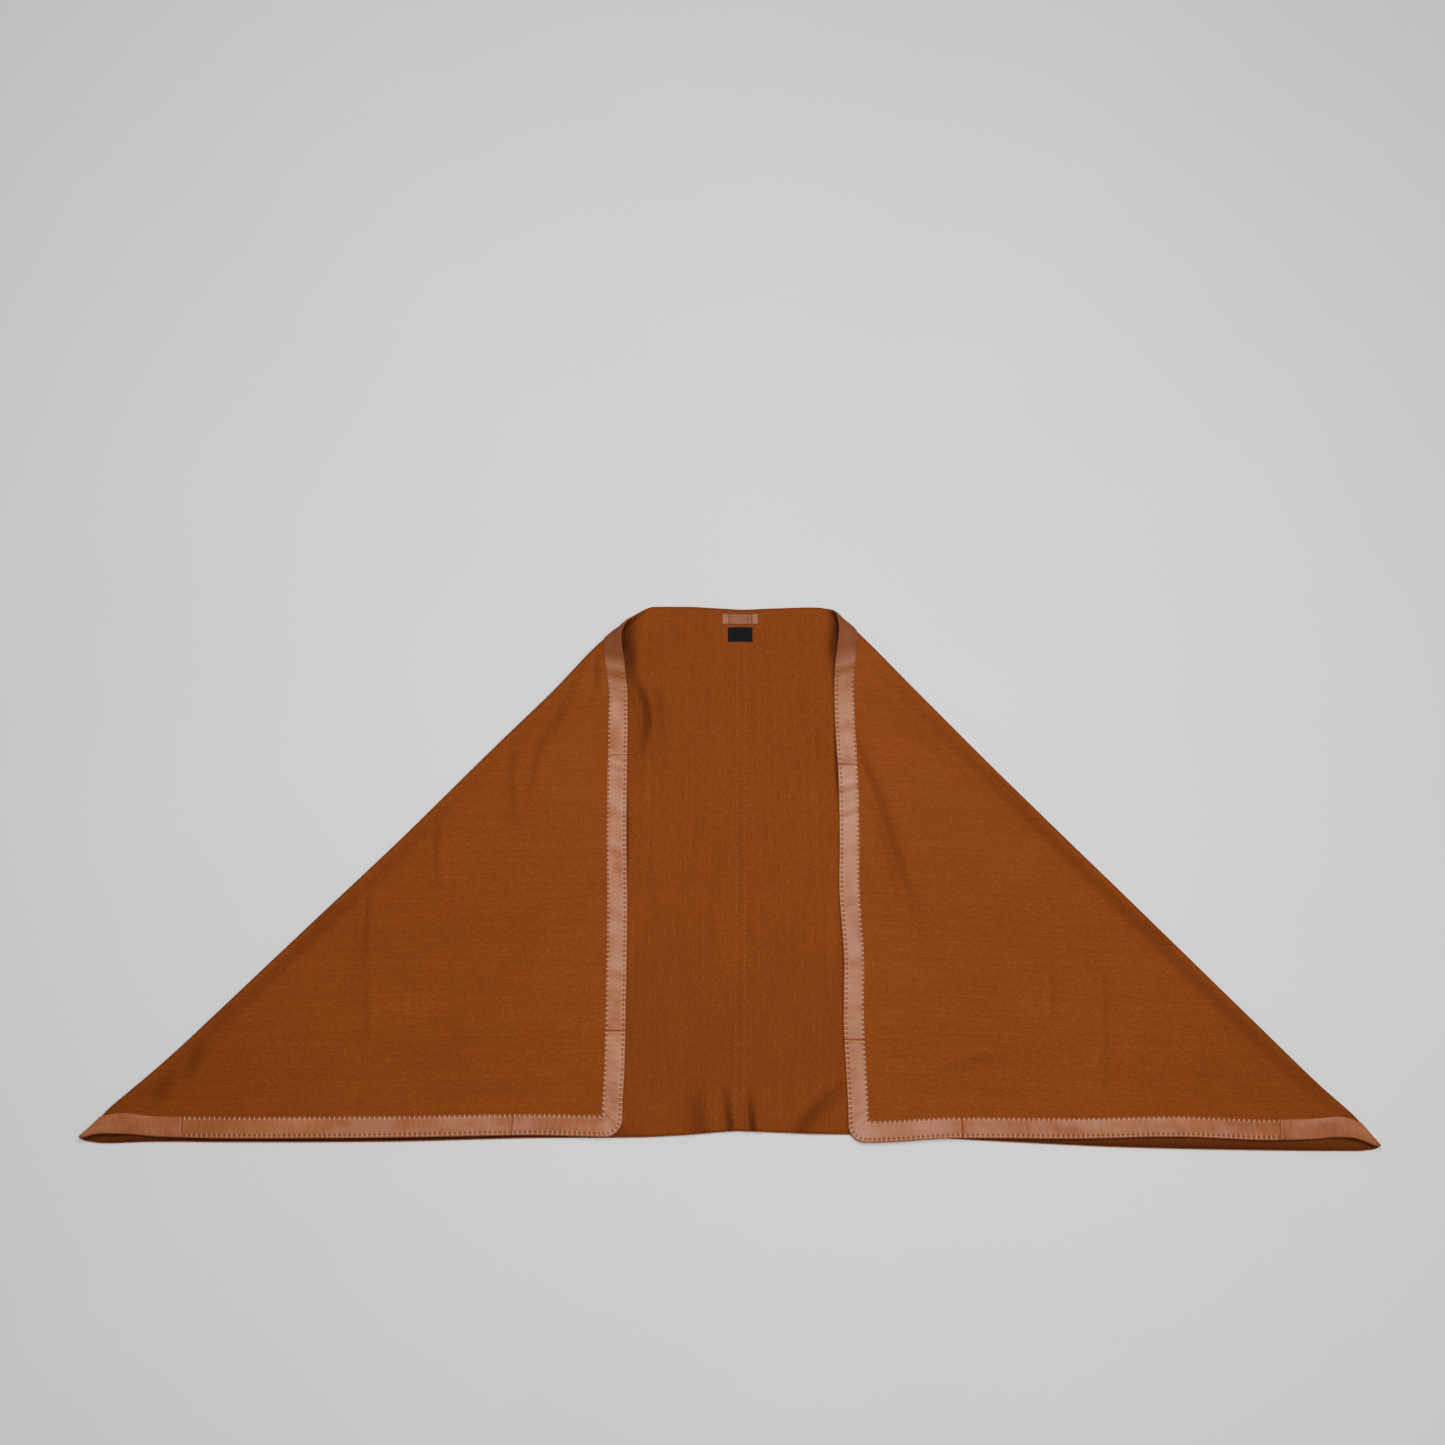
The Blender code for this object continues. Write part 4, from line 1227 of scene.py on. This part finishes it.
def top_of_back(x, y, halves):
    """Height of the back panel's inner side at plan points near the centre line."""
    heights = []
    for half in halves.values():
        plan = np.column_stack([half.sign * x, y])
        near = np.maximum(plan, [half.seam_top[0] + OFF_SEAM / 2, -np.inf])
        heights.append(half.lay(near, -CLOTH / 2 - seam_allowance(near, half))[:, 2])
    share = smooth((x - halves["right"].seam_top[0] + SEAM_EASE / 2) / SEAM_EASE)
    return heights[0] * (1.0 - share) + heights[1] * share


def small_grid(edges, rows, columns):
    """Shares across and up a small piece's grid, its places across, and its height."""
    left, right, low, high = edges
    u, v = np.meshgrid(np.linspace(0, 1, columns), np.linspace(0, 1, rows))
    u, v = u.ravel(), v.ravel()
    return u, v, left + (right - left) * u, high - low


def add_small_sheet(name, halves, plan, lift, thick, rows, run, material, slot, node):
    """A small closed sheet of uneven thickness on the back panel's inner side."""
    x, y = plan
    count = len(x)
    base = top_of_back(x, y, halves) + lift
    under = np.column_stack([x - MIDDLE[0], y - MIDDLE[1], base])
    top = under + thick[:, None] * [0.0, 0.0, 1.0]
    faces = grid(rows, count // rows).tolist()
    faces += grid(rows, count // rows, count)[:, ::-1].tolist()
    ring = rim_of(rows, count // rows).tolist()
    for a, b in zip(ring, ring[1:] + ring[:1]):
        faces.append([b, a, a + count, b + count])
    points = np.vstack([top, under])
    run = np.vstack([np.column_stack(run)] * 2)
    return add_piece(name, points, faces, material, slot, node, run=run)


def add_neck_patch(halves, material):
    """The small leather patch inside the back neck, its ends folded under."""
    left, right, low = NECK_PATCH[:3]
    u, v, x, high = small_grid(NECK_PATCH, 25, 71)
    sag = PATCH_SAG * (1.0 - (2 * u - 1) ** 2)
    y = low + high * v - sag * (1.0 - v)
    from_end = np.minimum(x - left, right - x)
    from_side = np.minimum(y - low + sag, low + high - y)
    folded = from_end < FOLDED_WIDTH
    thick = LEATHER + FOLDED_EXTRA * smooth(from_end / FOLDED_RISE) * folded
    deep, at, half_width = PATCH_GROOVE
    thick -= deep * hump((from_end - at) / half_width)
    tall, pitch = PATCH_RIBS
    thick += tall * np.sin(2 * np.pi * (y - low) / pitch + 1.5 * u)
    tall, wavelength, seed = PATCH_WRINKLES
    thick += tall * ripple(np.column_stack([x, y]), wavelength, seed)
    thick *= 0.35 + 0.65 * smooth(np.minimum(from_end, from_side) / PATCH_RIM)
    run = (x - (left + right) / 2, y, np.full(len(x), 0.7))
    return add_small_sheet(
        "lambskin_patch", halves, (x, y), 0.00002, thick, 25, run, material, "patch",
        "neck_patch",
    )


def add_care_label(halves, material):
    """The small black woven label below the patch, sewn flat along its sides."""
    left, right, low = CARE_LABEL[:3]
    u, v, x, high = small_grid(CARE_LABEL, 31, 49)
    y = low + high * v + LABEL_SAG * np.sin(np.pi * u)
    from_end = np.minimum(x - left, right - x)
    tall, at, half_width = LABEL_RIDGE
    thick = LABEL + tall * hump((from_end - at) / half_width)
    thick += LABEL_PUFF * np.sin(np.pi * u) ** 2
    tall, wavelength, seed = LABEL_WRINKLES
    thick += tall * ripple(np.column_stack([x, y]), wavelength, seed)
    run = (x, y, np.zeros(len(x)))
    return add_small_sheet(
        "satin_label", halves, (x, y), 0.00010, thick, 31, run, material, "label",
        "care_label",
    )


def srgb(red, green, blue):
    """A screen colour of 0 to 255 as the linear colour that a shader takes."""
    channels = [value / 255 for value in (red, green, blue)]
    linear = [
        c / 12.92 if c <= 0.04045 else ((c + 0.055) / 1.055) ** 2.4 for c in channels
    ]
    return (*linear, 1.0)


class Value:
    """A number that changes over a surface, held as the socket that gives it."""

    def __init__(self, finish, socket):
        self.finish = finish
        self.socket = socket

    def __add__(self, other):
        return self.finish.math("ADD", self, other)

    def __sub__(self, other):
        return self.finish.math("SUBTRACT", self, other)

    def __rsub__(self, other):
        return self.finish.math("SUBTRACT", other, self)

    def __mul__(self, other):
        return self.finish.math("MULTIPLY", self, other)

    def __abs__(self):
        return self.finish.math("ABSOLUTE", self)

    __radd__ = __add__
    __rmul__ = __mul__


class Finish:
    """The material of one piece, built up node by node from its shader."""

    def __init__(self, name, **shader):
        self.material = bpy.data.materials.new(name)
        self.material.use_nodes = True
        self.tree = self.material.node_tree
        self.shader = self.tree.nodes["Principled BSDF"]
        self.feed(self.shader, {key.replace("_", " "): v for key, v in shader.items()})

    def feed(self, node, values):
        """Sets or links a node's sockets, by name or in their order."""
        sockets = [socket for socket in node.inputs if socket.enabled]
        pairs = values.items() if isinstance(values, dict) else enumerate(values)
        for key, value in pairs:
            named = {s.name: s for s in reversed(sockets)}
            socket = sockets[key] if isinstance(key, int) else named[key]
            if isinstance(value, Value):
                self.tree.links.new(value.socket, socket)
            else:
                socket.default_value = value

    def node(self, kind, settings, values, output=0):
        """A node's output, from the node's type, its settings and its sockets' values."""
        node = self.tree.nodes.new(kind)
        for key, value in settings.items():
            if key == "stops":
                set_stops(node.color_ramp, value)
            else:
                setattr(node, key, value)
        self.feed(node, values)
        given = [socket for socket in node.outputs if socket.enabled]
        return Value(self, given[output])

    def math(self, operation, *values):
        """A number from one Math node."""
        return self.node("ShaderNodeMath", {"operation": operation}, values)

    def place(self, attribute):
        """A named place on the piece that its points carry, as a vector."""
        return self.node("ShaderNodeAttribute", {"attribute_name": attribute}, {}, 1)

    def parts_of(self, vector):
        """A vector's three parts."""
        return [self.node("ShaderNodeSeparateXYZ", {}, [vector], k) for k in range(3)]

    def stretched(self, vector, scale):
        """A vector with each of its parts scaled."""
        settings = {"operation": "MULTIPLY"}
        return self.node("ShaderNodeVectorMath", settings, [vector, scale])

    def noise(self, vector, scale, detail=2.0, roughness=0.5):
        """Soft noise from 0 to 1, with a scale along each part of the vector."""
        sockets = {
            "Vector": self.stretched(vector, scale),
            "Scale": 1.0,
            "Detail": detail,
            "Roughness": roughness,
        }
        return self.node("ShaderNodeTexNoise", {}, sockets)

    def eased(self, value, low, high):
        """0 up to low and 1 from high on, and a smooth step between them."""
        settings = {"interpolation_type": "SMOOTHSTEP"}
        sockets = {"Value": value, "From Min": low, "From Max": high}
        return self.node("ShaderNodeMapRange", settings, sockets)

    def mixed(self, share, one, other):
        """A colour between two others."""
        return self.node("ShaderNodeMix", {"data_type": "RGBA"}, [share, one, other])

    def ramp(self, value, *stops):
        """A colour from stops of place and colour."""
        return self.node("ShaderNodeValToRGB", {"stops": stops}, [value])

    def surface(self, colour, roughness, height, distance, strength=0.6):
        """Gives the shader its colour, its roughness and a fine relief."""
        sockets = {"Height": height, "Distance": distance, "Strength": strength}
        normal = self.node("ShaderNodeBump", {}, sockets)
        values = {"Base Color": colour, "Roughness": roughness, "Normal": normal}
        self.feed(self.shader, values)
        return self.material


def set_stops(ramp, stops):
    """Sets a colour ramp's stops."""
    while len(ramp.elements) < len(stops):
        ramp.elements.new(1.0)
    for element, (position, colour) in zip(ramp.elements, stops):
        element.position = position
        element.color = colour


def wool():
    """Heathered rust wool with a short nap, streaked across the cloth's length."""
    finish = Finish(
        "rust_wool",
        Sheen_Weight=0.04,
        Sheen_Roughness=0.5,
        Sheen_Tint=srgb(200, 110, 52),
        Specular_IOR_Level=0.12,
    )
    cut = finish.place("cut")
    side = finish.parts_of(cut)[2]
    fibres = finish.noise(cut, (2600.0, 700.0, 40.0), 2.0, 0.6)
    flecks = finish.noise(cut, (640.0, 240.0, 40.0), 2.0, 0.55)
    streaks = finish.noise(cut, (380.0, 9.0, 40.0))
    clouds = finish.noise(cut, (9.0, 7.0, 40.0))
    tone = fibres * 0.56 + flecks * 0.24 + streaks * 0.11 + clouds * 0.09
    colour = finish.ramp(
        tone,
        (0.32, srgb(88, 41, 15)),
        (0.46, srgb(107, 52, 21)),
        (0.54, srgb(115, 57, 23)),
        (0.70, srgb(138, 75, 36)),
    )
    inside = 1.0 - finish.eased(side, -0.6 * SIDE, 0.6 * SIDE)
    # Painted shade: darker in the creases, the shadow strips and the trough beside the
    # roll, and where the cloth slopes steeply; the inner side is also a tenth darker
    crease, slope, _ = finish.parts_of(finish.place("shade"))
    steep = finish.eased(slope, 0.05, 0.60)
    colour = finish.mixed(inside * 0.10 + crease + steep * 0.32, colour, srgb(40, 17, 5))
    twill = {"wave_type": "BANDS", "bands_direction": "DIAGONAL"}
    threads_at = finish.stretched(cut, (420.0, 420.0, 0.0))
    sockets = {"Vector": threads_at, "Scale": 1.0, "Distortion": 2.0}
    weave = finish.node("ShaderNodeTexWave", twill, sockets, 1)
    nap = fibres * 0.6 + flecks * 0.4 + weave * 0.2
    return finish.surface(colour, 0.86 + fibres * 0.12, nap, 0.0003)


def lambskin(name, dark, mid, light, pink, sewn=True):
    """Satin lambskin with fine creases, sewn as a binding or folded as the patch."""
    finish = Finish(name, Sheen_Weight=0.02, Specular_IOR_Level=0.12)
    run = finish.place("run")
    along, across, _ = finish.parts_of(run)
    clouds = finish.noise(run, (11.0, 24.0, 900.0))
    # Pink patches at random: the skin's own blush, and a painted sheen
    blush_and_sheen = finish.noise(run, (17.0, 30.0, 300.0))
    grain = finish.noise(run, (1700.0, 1700.0, 900.0), 3.0, 0.6)
    folds = finish.noise(run, (360.0, 60.0, 900.0), 3.0, 0.6)
    tone = clouds * 0.56 + grain * 0.16 + folds * 0.28
    colour = finish.ramp(tone, (0.34, dark), (0.50, mid), (0.68, light))
    colour = finish.mixed(finish.eased(blush_and_sheen, 0.46, 0.66) * 0.45, colour, pink)
    rough = 0.34 + folds * 0.14
    if sewn:
        colour, painted_shade = sewn_colour(finish, colour, across, dark)
        rough = rough + painted_shade * 0.5
    else:
        off = abs(along)
        folded = finish.eased(off, PATCH_FOLD - 0.0004, PATCH_FOLD + 0.0004)
        line = 1.0 - finish.eased(abs(off - PATCH_FOLD - 0.0002), 0.0003, 0.0010)
        colour = finish.mixed(folded * 0.55, colour, light)
        colour = finish.mixed(line * 0.55, colour, dark)
    return finish.surface(colour, rough, grain * 0.35 + folds * 0.65, 0.0003)


def sewn_colour(finish, colour, across, dark):
    """A binding's colour with painted shade and highlights, and how much shade it has."""
    tight, painted_shade, far = finish.parts_of(finish.place("pull"))
    beat = finish.math("PINGPONG", far, STITCH / 2)
    ridge = finish.eased(beat, STITCH / 2 - 0.0010, STITCH / 2 - 0.0003)
    inner = finish.eased(across, INNER_ROW - 0.0016, INNER_ROW - 0.0004)
    outer = 1.0 - finish.eased(abs(across - OUTER_ROW), 0.0006, 0.0020)
    pucker = finish.math("MAXIMUM", inner * 1.25, outer) * tight * (1.0 - ridge)
    inner_tick = finish.eased(across, INNER_ROW - 0.0034, INNER_ROW - 0.0014)
    outer_tick = 1.0 - finish.eased(across, OUTER_ROW + 0.0012, OUTER_ROW + 0.0032)
    tick = finish.math("MAXIMUM", inner_tick * 1.25, outer_tick) * tight * ridge
    edge = 1.0 - finish.eased(across, -0.0006, 0.0006)
    valley, sides, _ = finish.parts_of(finish.place("bend"))
    for share, other in (
        # painted shade, with some dirt, in the puckers at the stitches
        (pucker * 0.44, srgb(84, 44, 26)),
        # painted highlight on the ridges between stitches
        (tick * 0.46, srgb(212, 158, 126)),
        # painted shade where the stitches pull less, over the shoulder and at the tip,
        # and the painted shade over the shoulder and along the hem
        ((1.0 - tight) * 0.12 + painted_shade, srgb(78, 36, 14)),
        # painted shade in the bends' valleys
        (valley * 0.55, dark),
        # painted highlight on the bends' sides
        (sides * 0.50, srgb(190, 134, 104)),
        # painted shade on the edge turned down over the cloth's
        (edge * 0.60, srgb(104, 54, 32)),
    ):
        colour = finish.mixed(share, colour, other)
    return colour, painted_shade


def thread(name, colour, shade):
    """Twisted thread, a little uneven in colour."""
    finish = Finish(name, Sheen_Weight=0.02, Specular_IOR_Level=0.15)
    place = finish.node("ShaderNodeTexCoord", {}, {}, 3)
    twist = finish.noise(place, (1600.0, 1600.0, 1600.0))
    mottle = finish.noise(place, (60.0, 60.0, 60.0))
    colour = finish.ramp(twist * 0.5 + mottle * 0.5, (0.35, shade), (0.60, colour))
    return finish.surface(colour, 0.55 + twist * 0.2, twist, 0.0002)


def satin():
    """Black woven satin of the care label, with a fine cross weave."""
    finish = Finish("black_satin", Sheen_Weight=0.03, Specular_IOR_Level=0.08)
    run = finish.place("run")
    rib = finish.noise(run, (500.0, 5200.0, 1.0), 1.0)
    dust = finish.noise(run, (260.0, 260.0, 1.0), 3.0)
    stops = (0.35, srgb(8, 8, 8)), (0.7, srgb(20, 19, 19))
    colour = finish.ramp(rib * 0.6 + dust * 0.4, *stops)
    return finish.surface(colour, 0.60 + rib * 0.2, rib, 0.0002, 0.5)


def paper():
    """Plain pale surface that the poncho lies on."""
    finish = Finish("pale_floor")
    place = finish.node("ShaderNodeTexCoord", {}, {}, 3)
    tone = finish.noise(place, (3.0, 3.0, 3.0))
    colour = finish.ramp(tone, (0.3, srgb(246, 246, 246)), (0.7, srgb(250, 250, 250)))
    finish.feed(finish.shader, {"Base Color": colour, "Roughness": 0.9})
    return finish.material


def staged(name, data):
    """An object of the studio, which isn't part of the poncho."""
    prop = bpy.data.objects.new(name, data)
    bpy.context.collection.objects.link(prop)
    return prop


def add_studio():
    """Plain pale floor, a wide soft light overhead, and the camera."""
    mesh = bpy.data.meshes.new("floor")
    signs = ((-1, -1), (1, -1), (1, 1), (-1, 1))
    corners = [(x * FLOOR_HALF, y * FLOOR_HALF, FLOOR_LEVEL) for x, y in signs]
    mesh.from_pydata(corners, [], [(0, 1, 2, 3)])
    mesh.materials.append(paper())
    lamp = bpy.data.lights.new("key", "AREA")
    lamp.shape = "RECTANGLE"
    lamp.size, lamp.size_y = LAMP_SIZE
    lamp.energy = LAMP_POWER
    lamp.color = (1.0, 0.99, 0.98)
    light = staged("key", lamp)
    light.location = LAMP_AT
    across, back, up = light.location - Vector(LAMP_AIM)
    light.rotation_euler = (
        math.atan2(math.hypot(across, back), up), 0.0, math.atan2(across, -back)
    )
    staged("floor", mesh)
    world = bpy.data.worlds.new("studio")
    world.use_nodes = True
    background = world.node_tree.nodes["Background"]
    background.inputs["Color"].default_value = (1, 1, 1, 1)
    background.inputs["Strength"].default_value = LIGHT_AROUND
    bpy.context.scene.world = world
    lens = bpy.data.cameras.new("camera")
    lens.lens = LENS
    lens.sensor_width = SENSOR
    camera = staged("camera", lens)
    camera.location = CAMERA_AT
    camera.rotation_euler = (math.radians(CAMERA_TILT), 0.0, 0.0)
    bpy.context.scene.camera = camera


def main():
    """Makes the poncho, piece by piece, and the studio round it."""
    cloth = wool()
    tans = [srgb(122, 66, 37), srgb(143, 83, 50), srgb(164, 104, 72), srgb(166, 110, 86)]
    leather = lambskin("tan_lambskin", *tans)
    browns = [srgb(88, 46, 27), srgb(112, 64, 40), srgb(140, 88, 62), srgb(124, 76, 56)]
    patch_leather = lambskin("patch_lambskin", *browns, sewn=False)
    # Thread of about the leather's colour, painted a little darker for the shade of the
    # puckers it lies in
    sewing = thread("tan_thread", srgb(128, 78, 50), srgb(88, 48, 28))
    back_thread = thread("rust_thread", srgb(144, 80, 40), srgb(112, 57, 25))
    seam_thread = thread("seam_thread", srgb(166, 98, 54), srgb(122, 64, 30))
    halves = {side: Half(side) for side in CORNERS}
    for side, half in halves.items():
        wool_piece = add_cloth(half, cloth)
        sewn = [add_band(half, name, leather) for name in BANDS]
        sewn.append(add_stitches(half, sewing))
        sewn.append(add_dashes(half, back_thread))
        sewn.append(add_seam_stitches(half, seam_thread))
    add_neck_patch(halves, patch_leather)
    add_care_label(halves, satin())
    add_studio()


main()
